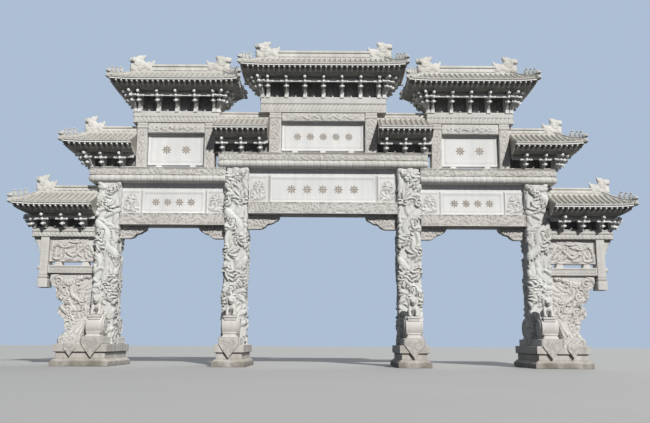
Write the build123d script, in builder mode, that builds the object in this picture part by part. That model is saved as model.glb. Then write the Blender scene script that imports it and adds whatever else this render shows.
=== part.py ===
"""Stone memorial gate with four pillars, three passages and nine tiled roofs, in millimetres.

The origin is on the ground at the middle of the gate, X runs along its width, -Y is its front.
Right-hand pieces are modelled and mirrored to the left, front pieces are mirrored to the back.
"""

import os

from build123d import *

# Pillars
PILLAR_SIDE = 880
PILLAR_CHAMFER = 25
INNER_PILLAR_X = 3280
OUTER_PILLAR_X = 8130

# Bases, from the ground up: plinth, sloping shoulder, waist and overhanging plate
BASE_DEPTH = 3200
PLINTH_HEIGHT = 180
SHOULDER_HEIGHT = 90
WAIST_HEIGHT = 230
PLATE_HEIGHT = 280
PLATE_INSET = 90
WAIST_INSET = 160
SHOULDER_INSET = 60
INNER_BASE_WIDTH = 1240
OUTER_BASE_INWARD = 640
OUTER_BASE_OUTWARD = 1430
CLOTH_THICKNESS = 40
CLOTH_DROP = 460

# Drum stones, each on a block with a cloth flap, and the lion's seat on top
DRUM_BLOCK_WIDTH = 760
DRUM_BLOCK_HEIGHT = 250
DRUM_NECK_WIDTH = 470
DRUM_NECK_HEIGHT = 200
DRUM_DIAMETER = 800
DRUM_THICKNESS = 600
DRUM_BOSS_DIAMETER = 560
DRUM_BOSS_HEIGHT = 30
DRUM_SINK = 200
SEAT_HEIGHT = 85
SEAT_LENGTH = 780
SEAT_STEP = 20
SEAT_UNDER_DRUM = 30

# Lions
LION_HEIGHT = 700
LION_LENGTH = 620
LION_WIDTH = 400
LION_BODY_WIDTH = 240
LION_CHEST = 420
LION_HAUNCH_RADIUS = 130
LION_LEG_WIDTH = 90
LION_LEG_DEPTH = 100
LION_MANE_RADIUS = 170
LION_MANE_DEPTH = 150
LION_MUZZLE = (150, 110, 130)
LION_EAR = 60

# Roll beams: a bulging roll with a carved band above it
ROLL_DEPTH = 1040
ROLL_HEIGHT = 290
ROLL_ROUND = 130
BAND_HEIGHT = 310
BAND_INSET = 40
SIDE_ROLL_BOTTOM = 6850
ROLL_OVERHANG = 380
CENTRE_ROLL_OVERHANG = 340

# Bays between the pillars
SIDE_PANEL_HEIGHT = 1170
CENTRE_PANEL_HEIGHT = 1320
PANEL_THICKNESS = 360
PANEL_FACE = 40
PANEL_TOP_SHADOW = 280
PANEL_SQUARE = 720
PANEL_BORDER = 90
BEAM_HEIGHT = 470
BEAM_THICKNESS = 820
CORNER_BRACKET_THICKNESS = 300
SIDE_CORNER_BRACKET = (1000, 480)
CENTRE_CORNER_BRACKET = (1200, 550)

# Scallops of a bracket: where its straight nose ends, then a point on each arc and the arc's end,
# as shares of its length and of its height
BRACKET_NOSE = 0.15
BRACKET_SCALLOPS = (
    ((0.96, 0.36), (0.84, 0.46)),
    ((0.72, 0.6), (0.6, 0.66)),
    ((0.5, 0.86), (0.34, 1.0)),
)

# Towers above the roll beams
SIDE_TOWER_X = 5700
SIDE_COLUMN_SPREAD = 1310
SIDE_COLUMN_SIDE = 430
SIDE_COLUMN_HEIGHT = 1790
SIDE_LINTEL_HALF = 1680
SIDE_LINTEL_HEIGHT = 420
SIDE_FRIEZE_HEIGHT = 400
CENTRE_COLUMN_SPREAD = 1860
CENTRE_COLUMN_SIDE = 500
CENTRE_COLUMN_HEIGHT = 1620
CENTRE_LINTEL_HALF = 2450
CENTRE_LINTEL_HEIGHT = 590
COLUMN_DEPTH = 680
CENTRE_FRIEZE_HEIGHT = 330
LINTEL_DEPTH = 740
FRIEZE_THICKNESS = 660
PLAQUE_THICKNESS = 260
PLAQUE_FRAME = 110
PLAQUE_FACE_DEPTH = 30
SUPPORT_HEIGHT = 140
SUPPORT_WIDTH = 300
SIDE_SUPPORTS = (-0.3, 0.3)
CENTRE_SUPPORTS = (-0.34, 0, 0.34)

# Wings outside the outer pillars
WING_LINTEL_TOP = 5080
WING_LINTEL_HEIGHT = 330
WING_LINTEL_REACH = 2420
WING_LINTEL_DEPTH = 640
POST_WIDTH = 330
POST_DEPTH = 540
POST_SETBACK = 495
POST_LENGTH = 1890
POST_FOOT_WIDTH = 400
POST_FOOT_DEPTH = 580
POST_FOOT_HEIGHT = 320
TIE_BEAM_TOP = 3680
TIE_BEAM_HEIGHT = 300
TIE_BEAM_THICKNESS = 520
TENON_LENGTH = 110
TENON_HEIGHT = 120
WING_FRIEZE_THICKNESS = 340
WING_PANEL_THICKNESS = 420
POST_BRACKET = (280, 580)
WING_FOOT_WIDTH = 460
WING_FOOT_HEIGHT = 820
WING_FOOT_MARGIN = 300
WING_SUPPORTS = (0.22, 0.8)

# Arcs of the wing panel's outer edge from its top down, and of the foot's front from its heel down: a
# point on each arc and its end, as shares of reach and height
WING_ARCS = (
    ((1.02, 0.9), (0.86, 0.79)),
    ((0.86, 0.68), (0.64, 0.57)),
    ((0.80, 0.46), (0.62, 0.35)),
    ((0.60, 0.18), (0.52, 0)),
)
FOOT_ARCS = (((0.5, 0.8), (0.66, 0.45)), ((0.88, 0.5), (1, 0.25)))

# Roofs and the bracket zones below them
EAVE_HALF_DEPTH = 1200
EAVE_EDGE = 70
RAFTER_DROP = 180
RAFTER_INSET = 200
COVE_DROP = 80
COVE_INSET = 280
ROOF_RISE = 600
ROOF_SAG = 70
RIDGE_HALF_WIDTH = 100
TALL_RIDGE = 340
LOW_RIDGE = 260
HIP_RUN = 760
CENTRE_OVERHANG = 820
TOP_OVERHANG = 870
SECOND_OVERHANG = 940
WING_OVERHANG = 620
CORNER_RIDGE_WIDTH = 130
CORNER_RIDGE_HEIGHT = 110
CORNER_LIFT = 110
CORNER_BEND = (0.88, 0.95)
CORNER_BEND_LIFT = (0.5, 0.6)
CORNER_UNDERSIDE = ((0.9, -0.05), (0.5, 0.2), (0, 0.7))
WALL_HALF_DEPTH = 280
TALL_ZONE = 790
LOW_ZONE = 520
SET_PITCH = 722
SET_MARGIN = 200
END_SET_LIFT = 120
ARM_LENGTH = 460
ARM_HEIGHT = 90
ARM_DEPTH = 110
BEAK_WIDTH = 120
TALL_FINIAL = (1000, 760)
LOW_FINIAL = (800, 700)
FINIAL_THICKNESS = 240
FINIAL_SETBACK = 0.75

# Steps of a bracket set's beak from its foot up, and its cross arms: shares of its reach and height
BEAK_STEPS = ((0.35, 0), (0.6, 0.3), (0.45, 0.4), (0.85, 0.62), (0.7, 0.72), (1, 0.9), (1, 1))
ARM_SHARES = ((0.35, 0.42), (0.75, 0.72))

# Outline of a ridge-end beast from its tail over the horn and brow to its chest: a point on each arc and
# its end, as shares of its length from the outer end and of its height
FINIAL_TAIL = (1, 0.6)
FINIAL_ARCS = (
    ((0.88, 0.46), (0.72, 0.45)),
    ((0.64, 0.7), (0.64, 1)),
    ((0.53, 0.9), (0.42, 0.84)),
    ((0.22, 0.92), (0.03, 0.74)),
    ((0.1, 0.62), (0.22, 0.55)),
    ((0.12, 0.5), (0.07, 0.38)),
    ((0.02, 0.2), (0.06, 0)),
)

# Levels and places worked out from the sizes above
BASE_HEIGHT = PLINTH_HEIGHT + SHOULDER_HEIGHT + WAIST_HEIGHT + PLATE_HEIGHT
PLATE_FRONT = BASE_DEPTH / 2 - PLATE_INSET
HALF_PILLAR = PILLAR_SIDE / 2
WING_START = OUTER_PILLAR_X + HALF_PILLAR
ROLL_TOTAL = ROLL_HEIGHT + BAND_HEIGHT
SIDE_ROLL_TOP = SIDE_ROLL_BOTTOM + ROLL_TOTAL
CENTRE_ROLL_TOP = SIDE_ROLL_TOP + ROLL_TOTAL
SIDE_COLUMN_TOP = SIDE_ROLL_TOP + SIDE_COLUMN_HEIGHT
CENTRE_COLUMN_TOP = CENTRE_ROLL_TOP + CENTRE_COLUMN_HEIGHT
SIDE_LINTEL_TOP = SIDE_COLUMN_TOP + SIDE_LINTEL_HEIGHT
CENTRE_LINTEL_TOP = CENTRE_COLUMN_TOP + CENTRE_LINTEL_HEIGHT
SIDE_TOWER_IN = SIDE_TOWER_X - SIDE_COLUMN_SPREAD - SIDE_COLUMN_SIDE / 2
SIDE_TOWER_OUT = SIDE_TOWER_X + SIDE_COLUMN_SPREAD + SIDE_COLUMN_SIDE / 2
CENTRE_TOWER_OUT = CENTRE_COLUMN_SPREAD + CENTRE_COLUMN_SIDE / 2
WING_LINTEL_BOTTOM = WING_LINTEL_TOP - WING_LINTEL_HEIGHT
WING_LINTEL_END = WING_START + WING_LINTEL_REACH
POST_X = WING_LINTEL_END - POST_SETBACK
SOFFIT_DROP = EAVE_EDGE + RAFTER_DROP + COVE_DROP
FRONT = Plane.XZ
SIDE = Plane.YZ

os.makedirs("parts", exist_ok=True)


def save(part, name):
    """Labels a finished piece and writes its STEP file."""
    part.label = name
    export_step(part, f"parts/{name}.step")


def twin(part):
    """The left-hand piece that mirrors a right-hand one."""
    with BuildPart() as other:
        mirror(part, about=Plane.YZ)
    return other.part


def slab(x_range, y_range, z_range):
    """A plain rectangular block, added to the piece being built, between its low and high corners."""
    centre = [(low + high) / 2 for low, high in (x_range, y_range, z_range)]
    size = [high - low for low, high in (x_range, y_range, z_range)]
    with Locations(tuple(centre)):
        Box(*size)


def block(x_range, y_range, z_range):
    """A rectangular block by itself, to be added to a piece or cut from it."""
    with BuildPart() as solid:
        slab(x_range, y_range, z_range)
    return solid.part


def base(x_low, x_high):
    """A stepped base: plinth, sloping shoulder, waist and an overhanging plate."""
    middle = (x_low + x_high) / 2
    width = x_high - x_low
    waist_bottom = PLINTH_HEIGHT + SHOULDER_HEIGHT
    steps = (
        (0, PLINTH_HEIGHT, 0),
        (waist_bottom, WAIST_HEIGHT, WAIST_INSET),
        (waist_bottom + WAIST_HEIGHT, PLATE_HEIGHT, PLATE_INSET),
    )
    with BuildPart() as stone:
        for bottom, height, inset in steps:
            with BuildSketch(Plane.XY.offset(bottom)):
                with Locations((middle, 0)):
                    Rectangle(width - 2 * inset, BASE_DEPTH - 2 * inset)
            extrude(amount=height)
        for level, inset in ((PLINTH_HEIGHT, SHOULDER_INSET), (waist_bottom, WAIST_INSET)):
            with BuildSketch(Plane.XY.offset(level)):
                with Locations((middle, 0)):
                    Rectangle(width - 2 * inset, BASE_DEPTH - 2 * inset)
        loft(ruled=True)
    return stone.part


# Bases and pillars
inner_base_half = INNER_BASE_WIDTH / 2
outer_base_in = OUTER_PILLAR_X - OUTER_BASE_INWARD
outer_base_out = OUTER_PILLAR_X + OUTER_BASE_OUTWARD

with BuildPart() as base_inner_right:
    add(base(INNER_PILLAR_X - inner_base_half, INNER_PILLAR_X + inner_base_half))

with BuildPart() as base_outer_right:
    add(base(outer_base_in, outer_base_out))

for name, part in (("base_inner", base_inner_right.part), ("base_outer", base_outer_right.part)):
    save(part, f"{name}_right")
    save(twin(part), f"{name}_left")


def pillar(x, top):
    """A square shaft with chamfered arrises, standing on its base."""
    with BuildPart() as shaft:
        with BuildSketch(Plane.XY.offset(BASE_HEIGHT)):
            with Locations((x, 0)):
                Rectangle(PILLAR_SIDE, PILLAR_SIDE)
        extrude(amount=top - BASE_HEIGHT)
        chamfer(shaft.edges().filter_by(Axis.Z), PILLAR_CHAMFER)
    return shaft.part


with BuildPart() as pillar_inner_right:
    add(pillar(INNER_PILLAR_X, SIDE_ROLL_TOP))

with BuildPart() as pillar_outer_right:
    add(pillar(OUTER_PILLAR_X, SIDE_ROLL_BOTTOM))

for name, part in (("pillar_inner", pillar_inner_right.part), ("pillar_outer", pillar_outer_right.part)):
    save(part, f"{name}_right")
    save(twin(part), f"{name}_left")

# Drum stones
drum_block_top = BASE_HEIGHT + DRUM_BLOCK_HEIGHT
drum_neck_top = drum_block_top + DRUM_NECK_HEIGHT
drum_z = drum_neck_top + DRUM_DIAMETER / 2 - DRUM_SINK
drum_y = -(HALF_PILLAR + PLATE_FRONT) / 2
seat_top = drum_z + DRUM_DIAMETER / 2 - SEAT_UNDER_DRUM
seat_bottom = seat_top - SEAT_HEIGHT
cloth_half = DRUM_BLOCK_WIDTH / 2


def drum_stone(x):
    """A drum on its neck and block, with a pointed cloth over the base's plate and a seat on top."""
    with BuildPart() as stone:
        slab((x - cloth_half, x + cloth_half), (-PLATE_FRONT, -HALF_PILLAR), (BASE_HEIGHT, drum_block_top))
        neck_half = DRUM_NECK_WIDTH / 2
        neck_reach = DRUM_DIAMETER / 2 + CLOTH_THICKNESS
        slab(
            (x - neck_half, x + neck_half),
            (drum_y - neck_reach, -HALF_PILLAR),
            (drum_block_top, drum_neck_top),
        )
        with BuildSketch(SIDE.offset(x)):
            with Locations((drum_y, drum_z)):
                Circle(DRUM_DIAMETER / 2)
        extrude(amount=DRUM_THICKNESS / 2, both=True)
        with BuildSketch(SIDE.offset(x)):
            with Locations((drum_y, drum_z)):
                Circle(DRUM_BOSS_DIAMETER / 2)
        extrude(amount=DRUM_THICKNESS / 2 + DRUM_BOSS_HEIGHT, both=True)
        split(bisect_by=Plane.XY.offset(seat_top), keep=Keep.BOTTOM)
        seat_plates = ((0, seat_bottom, seat_top), (SEAT_STEP, seat_bottom - SEAT_HEIGHT, seat_bottom))
        for step, low, high in seat_plates:
            slab(
                (x - neck_half + step, x + neck_half - step),
                (drum_y - SEAT_LENGTH / 2 + step, drum_y + SEAT_LENGTH / 2 - step),
                (low, high),
            )
        with BuildSketch(FRONT.offset(PLATE_FRONT)):
            with BuildLine():
                Polyline(
                    (x - cloth_half, drum_block_top),
                    (x + cloth_half, drum_block_top),
                    (x + cloth_half, BASE_HEIGHT),
                    (x, BASE_HEIGHT - CLOTH_DROP),
                    (x - cloth_half, BASE_HEIGHT),
                    close=True,
                )
            make_face()
        extrude(amount=CLOTH_THICKNESS)
    return stone.part


with BuildPart() as drum_stones:
    for pillar_x in (INNER_PILLAR_X, OUTER_PILLAR_X):
        add(drum_stone(pillar_x))
    mirror(about=Plane.XZ)
    mirror(about=Plane.YZ)
save(drum_stones.part, "drum_stones")


def lion(x):
    """A seated lion facing the front: haunches, back, two forelegs with a gap, a mane, muzzle and ears."""
    front = drum_y - SEAT_LENGTH / 2 + SEAT_STEP
    back = front + LION_LENGTH
    chest = front + LION_LEG_DEPTH / 2
    haunch_y = back - LION_HAUNCH_RADIUS
    mane_z = seat_top + LION_HEIGHT - LION_MANE_RADIUS
    half_width = LION_WIDTH / 2
    with BuildPart() as body:
        with BuildSketch(SIDE.offset(x)):
            with BuildLine():
                sole = Line((back, seat_top), (front + LION_LEG_DEPTH, seat_top))
                breast = Line(sole @ 1, (chest, seat_top + LION_CHEST))
                neck = Line(breast @ 1, (chest + LION_MANE_DEPTH, mane_z))
                ThreePointArc(neck @ 1, (back - LION_HAUNCH_RADIUS / 3, seat_top + LION_CHEST / 2), sole @ 0)
            make_face()
        extrude(amount=LION_BODY_WIDTH / 2, both=True)
        with BuildSketch(SIDE.offset(x)):
            with Locations((haunch_y, seat_top + LION_HAUNCH_RADIUS)):
                Circle(LION_HAUNCH_RADIUS)
        extrude(amount=half_width, both=True)
        for leg_x in (x - half_width, x + half_width - LION_LEG_WIDTH):
            slab(
                (leg_x, leg_x + LION_LEG_WIDTH),
                (front, front + LION_LEG_DEPTH),
                (seat_top, seat_top + LION_CHEST),
            )
        with BuildSketch(FRONT.offset(-chest)):
            with Locations((x, mane_z)):
                Circle(LION_MANE_RADIUS)
        extrude(amount=-LION_MANE_DEPTH)
        muzzle_width, muzzle_depth, muzzle_height = LION_MUZZLE
        slab(
            (x - muzzle_width / 2, x + muzzle_width / 2),
            (chest - muzzle_depth, chest),
            (mane_z - muzzle_height, mane_z),
        )
        fillet(body.faces().sort_by(Axis.Y)[0].edges(), muzzle_width / 4)
        for ear_x in (x - LION_MANE_RADIUS / 2, x + LION_MANE_RADIUS / 2):
            ear_top = mane_z + LION_MANE_RADIUS
            slab(
                (ear_x - LION_EAR / 2, ear_x + LION_EAR / 2),
                (chest, chest + LION_EAR),
                (ear_top - LION_EAR, ear_top),
            )
    return body.part


with BuildPart() as lions:
    for pillar_x in (INNER_PILLAR_X, OUTER_PILLAR_X):
        add(lion(pillar_x))
    mirror(about=Plane.XZ)
    mirror(about=Plane.YZ)
save(lions.part, "lions")


# Roll beams
def roll_beam(x_low, x_high, bottom, round_low_end):
    """A bulging roll that wraps round its free ends, under a flat carved band."""
    with BuildPart() as beam:
        slab((x_low, x_high), (-ROLL_DEPTH / 2, ROLL_DEPTH / 2), (bottom, bottom + ROLL_HEIGHT))
        rim = beam.edges().filter_by(Axis.X) + beam.edges().filter_by(Axis.Y).group_by(Axis.X)[-1]
        if round_low_end:
            rim += beam.edges().filter_by(Axis.Y).group_by(Axis.X)[0]
        fillet(rim, ROLL_ROUND)
        band_low = x_low + BAND_INSET if round_low_end else x_low
        band_half = ROLL_DEPTH / 2 - BAND_INSET
        slab(
            (band_low, x_high - BAND_INSET),
            (-band_half, band_half),
            (bottom + ROLL_HEIGHT, bottom + ROLL_TOTAL),
        )
    return beam.part


centre_roll_end = INNER_PILLAR_X + HALF_PILLAR + CENTRE_ROLL_OVERHANG
with BuildPart() as roll_beam_centre:
    add(roll_beam(-centre_roll_end, centre_roll_end, SIDE_ROLL_TOP, True))
save(roll_beam_centre.part, "roll_beam_centre")

side_roll_end = WING_START + ROLL_OVERHANG
with BuildPart() as roll_beam_right:
    add(roll_beam(INNER_PILLAR_X + HALF_PILLAR, side_roll_end, SIDE_ROLL_BOTTOM, False))
save(roll_beam_right.part, "roll_beam_right")
save(twin(roll_beam_right.part), "roll_beam_left")

# Bays: name panel, lower beam and corner brackets
side_bay = (INNER_PILLAR_X + HALF_PILLAR, OUTER_PILLAR_X - HALF_PILLAR)
centre_bay = (-INNER_PILLAR_X + HALF_PILLAR, INNER_PILLAR_X - HALF_PILLAR)
side_beam_top = SIDE_ROLL_BOTTOM - SIDE_PANEL_HEIGHT
centre_beam_top = SIDE_ROLL_TOP - CENTRE_PANEL_HEIGHT


def name_panel(bay, bottom, top):
    """A long slab with a raised face on both sides: a square at each end and a framed middle."""
    half = PANEL_THICKNESS / 2
    face_top = top - PANEL_TOP_SHADOW
    middle_z = (bottom + face_top) / 2
    face_height = face_top - bottom
    low, high = bay
    spans = (
        (low, low + PANEL_SQUARE),
        (low + PANEL_SQUARE + PANEL_BORDER, high - PANEL_SQUARE - PANEL_BORDER),
        (high - PANEL_SQUARE, high),
    )
    with BuildPart() as panel:
        slab(bay, (-half, half), (bottom, top))
        with BuildSketch(FRONT.offset(half)):
            for start, end in spans:
                with Locations(((start + end) / 2, middle_z)):
                    Rectangle(end - start, face_height)
        extrude(amount=PANEL_FACE)
        mirror(about=Plane.XZ)
    return panel.part


with BuildPart() as name_panels:
    add(name_panel(side_bay, side_beam_top, SIDE_ROLL_BOTTOM))
    mirror(about=Plane.YZ)
    add(name_panel(centre_bay, centre_beam_top, SIDE_ROLL_TOP))
save(name_panels.part, "name_panels")

with BuildPart() as lower_beams:
    beam_half = BEAM_THICKNESS / 2
    slab(side_bay, (-beam_half, beam_half), (side_beam_top - BEAM_HEIGHT, side_beam_top))
    mirror(about=Plane.YZ)
    slab(centre_bay, (-beam_half, beam_half), (centre_beam_top - BEAM_HEIGHT, centre_beam_top))
save(lower_beams.part, "lower_beams")


def corner_bracket(x, toward, top, size):
    """A stepped bracket below a beam, against a pillar at x, narrowing downwards in scallops."""
    length, height = size

    def spot(out, down):
        return x + toward * length * out, top - height * down

    with BuildPart() as bracket:
        with BuildSketch(FRONT):
            with BuildLine():
                head = Line(spot(0, 0), spot(1, 0))
                edge = Line(head @ 1, spot(1, BRACKET_NOSE))
                for middle, end in BRACKET_SCALLOPS:
                    edge = ThreePointArc(edge @ 1, spot(*middle), spot(*end))
                foot = Line(edge @ 1, spot(0, 1))
                Line(foot @ 1, head @ 0)
            make_face()
        extrude(amount=CORNER_BRACKET_THICKNESS / 2, both=True)
    return bracket.part


side_bracket_top = side_beam_top - BEAM_HEIGHT
centre_bracket_top = centre_beam_top - BEAM_HEIGHT
with BuildPart() as corner_brackets:
    add(corner_bracket(side_bay[0], 1, side_bracket_top, SIDE_CORNER_BRACKET))
    add(corner_bracket(side_bay[1], -1, side_bracket_top, SIDE_CORNER_BRACKET))
    add(corner_bracket(centre_bay[1], -1, centre_bracket_top, CENTRE_CORNER_BRACKET))
    mirror(about=Plane.YZ)
save(corner_brackets.part, "corner_brackets")

# Towers: columns, frieze, plaque and lintel
towers = (
    (SIDE_TOWER_X, SIDE_COLUMN_SPREAD, SIDE_COLUMN_SIDE, SIDE_ROLL_TOP, SIDE_COLUMN_TOP,
     SIDE_FRIEZE_HEIGHT, SIDE_SUPPORTS),
    (0, CENTRE_COLUMN_SPREAD, CENTRE_COLUMN_SIDE, CENTRE_ROLL_TOP, CENTRE_COLUMN_TOP,
     CENTRE_FRIEZE_HEIGHT, CENTRE_SUPPORTS),
)

with BuildPart() as upper_columns:
    for x, spread, side, bottom, top, _, _ in towers:
        for column_x in (x - spread, x + spread):
            slab(
                (column_x - side / 2, column_x + side / 2),
                (-COLUMN_DEPTH / 2, COLUMN_DEPTH / 2),
                (bottom, top),
            )
    mirror(about=Plane.YZ)
save(upper_columns.part, "upper_columns")

with BuildPart() as upper_friezes:
    for x, spread, side, bottom, top, frieze, _ in towers:
        span = (x - spread + side / 2, x + spread - side / 2)
        slab(span, (-FRIEZE_THICKNESS / 2, FRIEZE_THICKNESS / 2), (top - frieze, top))
    mirror(about=Plane.YZ)
save(upper_friezes.part, "upper_friezes")


def plaque(x, width, bottom, top, supports):
    """A slab with a sunk face on both sides, standing on small tapered blocks."""
    half = PLAQUE_THICKNESS / 2
    slab_bottom = bottom + SUPPORT_HEIGHT
    middle_z = (slab_bottom + top) / 2
    with BuildPart() as board:
        slab((x - width / 2, x + width / 2), (-half, half), (slab_bottom, top))
        for face in (half - PLAQUE_FACE_DEPTH, -half):
            with BuildSketch(FRONT.offset(face)):
                with Locations((x, middle_z)):
                    Rectangle(width - 2 * PLAQUE_FRAME, top - slab_bottom - 2 * PLAQUE_FRAME)
            extrude(amount=PLAQUE_FACE_DEPTH, mode=Mode.SUBTRACT)
        for share in supports:
            with BuildSketch(FRONT):
                with BuildLine():
                    block_x = x + share * width
                    Polyline(
                        (block_x - SUPPORT_WIDTH / 2, bottom),
                        (block_x + SUPPORT_WIDTH / 2, bottom),
                        (block_x + SUPPORT_WIDTH / 3, slab_bottom),
                        (block_x - SUPPORT_WIDTH / 3, slab_bottom),
                        close=True,
                    )
                make_face()
            extrude(amount=half, both=True)
    return board.part


with BuildPart() as upper_plaques:
    for x, spread, side, bottom, top, frieze, supports in towers:
        add(plaque(x, 2 * spread - side, bottom, top - frieze, supports))
        if x:
            mirror(about=Plane.YZ)
save(upper_plaques.part, "upper_plaques")

lintel_half = LINTEL_DEPTH / 2
side_lintel = (SIDE_TOWER_X - SIDE_LINTEL_HALF, SIDE_TOWER_X + SIDE_LINTEL_HALF)
centre_lintel = (-CENTRE_LINTEL_HALF, CENTRE_LINTEL_HALF)
with BuildPart() as upper_lintels:
    slab(side_lintel, (-lintel_half, lintel_half), (SIDE_COLUMN_TOP, SIDE_LINTEL_TOP))
    mirror(about=Plane.YZ)
    slab(centre_lintel, (-lintel_half, lintel_half), (CENTRE_COLUMN_TOP, CENTRE_LINTEL_TOP))
save(upper_lintels.part, "upper_lintels")

# Wings
wing_lintel_half = WING_LINTEL_DEPTH / 2
with BuildPart() as wing_lintels:
    slab(
        (WING_START, WING_LINTEL_END),
        (-wing_lintel_half, wing_lintel_half),
        (WING_LINTEL_BOTTOM, WING_LINTEL_TOP),
    )
    mirror(about=Plane.YZ)
save(wing_lintels.part, "wing_lintels")

post_half = POST_WIDTH / 2
post_bottom = WING_LINTEL_BOTTOM - POST_LENGTH
with BuildPart() as hanging_posts:
    slab(
        (POST_X - post_half, POST_X + post_half),
        (-POST_DEPTH / 2, POST_DEPTH / 2),
        (post_bottom, WING_LINTEL_BOTTOM),
    )
    foot_half = POST_FOOT_WIDTH / 2
    slab(
        (POST_X - foot_half, POST_X + foot_half),
        (-POST_FOOT_DEPTH / 2, POST_FOOT_DEPTH / 2),
        (post_bottom, post_bottom + POST_FOOT_HEIGHT),
    )
    slab(
        (POST_X + post_half, POST_X + post_half + TENON_LENGTH),
        (-TENON_HEIGHT / 2, TENON_HEIGHT / 2),
        (TIE_BEAM_TOP - TENON_HEIGHT, TIE_BEAM_TOP),
    )
    mirror(about=Plane.YZ)
save(hanging_posts.part, "hanging_posts")

tie_half = TIE_BEAM_THICKNESS / 2
wing_bay = (WING_START, POST_X - post_half)
with BuildPart() as wing_tie_beams:
    slab(wing_bay, (-tie_half, tie_half), (TIE_BEAM_TOP - TIE_BEAM_HEIGHT, TIE_BEAM_TOP))
    mirror(about=Plane.YZ)
save(wing_tie_beams.part, "wing_tie_beams")

wing_frieze_half = WING_FRIEZE_THICKNESS / 2
with BuildPart() as wing_friezes:
    slab(
        wing_bay,
        (-wing_frieze_half, wing_frieze_half),
        (TIE_BEAM_TOP + SUPPORT_HEIGHT, WING_LINTEL_BOTTOM),
    )
    for share in WING_SUPPORTS:
        support_x = wing_bay[0] + share * (wing_bay[1] - wing_bay[0])
        slab(
            (support_x - SUPPORT_WIDTH / 2, support_x + SUPPORT_WIDTH / 2),
            (-wing_frieze_half, wing_frieze_half),
            (TIE_BEAM_TOP, TIE_BEAM_TOP + SUPPORT_HEIGHT),
        )
    mirror(about=Plane.YZ)
save(wing_friezes.part, "wing_friezes")

with BuildPart() as post_brackets:
    add(corner_bracket(POST_X + post_half, 1, WING_LINTEL_BOTTOM, POST_BRACKET))
    mirror(about=Plane.YZ)
save(post_brackets.part, "post_brackets")

wing_panel_top = TIE_BEAM_TOP - TIE_BEAM_HEIGHT
wing_panel_height = wing_panel_top - BASE_HEIGHT
wing_panel_reach = wing_bay[1] - wing_bay[0] - POST_FOOT_WIDTH / 4


def wing_point(reach, level):
    """A point of the wing panel's outline, as shares of its reach and of its height."""
    return WING_START + reach * wing_panel_reach, BASE_HEIGHT + level * wing_panel_height


with BuildPart() as wing_panels:
    with BuildSketch(FRONT):
        with BuildLine():
            top = Line(wing_point(0, 1), wing_point(1, 1))
            edge = top
            for middle, end in WING_ARCS:
                edge = ThreePointArc(edge @ 1, wing_point(*middle), wing_point(*end))
            ground = Line(edge @ 1, wing_point(0, 0))
            Line(ground @ 1, top @ 0)
        make_face()
    extrude(amount=WING_PANEL_THICKNESS / 2, both=True)
    mirror(about=Plane.YZ)
save(wing_panels.part, "wing_panels")

# Scroll feet in front of and behind the wing panels
foot_x = outer_base_out - PLATE_INSET - WING_FOOT_WIDTH / 2 - WING_FOOT_MARGIN
foot_low = (foot_x - WING_FOOT_WIDTH / 2, foot_x + WING_FOOT_WIDTH / 2)
foot_lip = WING_FOOT_HEIGHT * FOOT_ARCS[-1][-1][-1]


def foot_point(out, level):
    """A point of the foot's front, as shares of the base plate's reach and of the foot's height."""
    return -PLATE_FRONT * out, BASE_HEIGHT + WING_FOOT_HEIGHT * level


with BuildPart() as wing_feet:
    with BuildSketch(SIDE.offset(foot_low[0])):
        with BuildLine():
            sole = Line((-PLATE_FRONT, BASE_HEIGHT), (-WING_PANEL_THICKNESS / 2, BASE_HEIGHT))
            edge = Line(sole @ 1, (-WING_PANEL_THICKNESS / 2, BASE_HEIGHT + WING_FOOT_HEIGHT))
            for middle, end in FOOT_ARCS:
                edge = ThreePointArc(edge @ 1, foot_point(*middle), foot_point(*end))
            Line(edge @ 1, sole @ 0)
        make_face()
    extrude(amount=WING_FOOT_WIDTH)
    with BuildSketch(FRONT.offset(PLATE_FRONT)):
        with BuildLine():
            Polyline(
                (foot_low[0], BASE_HEIGHT),
                (foot_low[1], BASE_HEIGHT),
                (foot_low[1], BASE_HEIGHT - PLATE_HEIGHT / 2),
                (foot_x, BASE_HEIGHT - CLOTH_DROP),
                (foot_low[0], BASE_HEIGHT - PLATE_HEIGHT / 2),
                close=True,
            )
        make_face()
    extrude(amount=CLOTH_THICKNESS)
    with BuildSketch(FRONT.offset(PLATE_FRONT)):
        with Locations((foot_x, BASE_HEIGHT + foot_lip / 2)):
            Rectangle(WING_FOOT_WIDTH, foot_lip)
    extrude(amount=CLOTH_THICKNESS)
    mirror(about=Plane.XZ)
    mirror(about=Plane.YZ)
save(wing_feet.part, "wing_feet")

# Roofs: each tier is a bracket zone and a roof above it, given by the ends of its wall and its floor
tiers = {
    "top_centre": (centre_lintel, CENTRE_LINTEL_TOP, TALL_ZONE, TALL_RIDGE, TALL_FINIAL),
    "top": (side_lintel, SIDE_LINTEL_TOP, TALL_ZONE, TALL_RIDGE, TALL_FINIAL),
    "second_outer": ((SIDE_TOWER_OUT, side_roll_end), SIDE_ROLL_TOP, LOW_ZONE, LOW_RIDGE, LOW_FINIAL),
    "second_inner": ((CENTRE_TOWER_OUT, SIDE_TOWER_IN), CENTRE_ROLL_TOP, LOW_ZONE, LOW_RIDGE, LOW_FINIAL),
    "wing": ((WING_START, WING_LINTEL_END), WING_LINTEL_TOP, LOW_ZONE, LOW_RIDGE, LOW_FINIAL),
}
overhangs = {
    "top_centre": (CENTRE_OVERHANG, CENTRE_OVERHANG),
    "top": (TOP_OVERHANG, TOP_OVERHANG),
    "second_outer": (0, SECOND_OVERHANG),
    "second_inner": (0, 0),
    "wing": (0, WING_OVERHANG),
}


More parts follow.
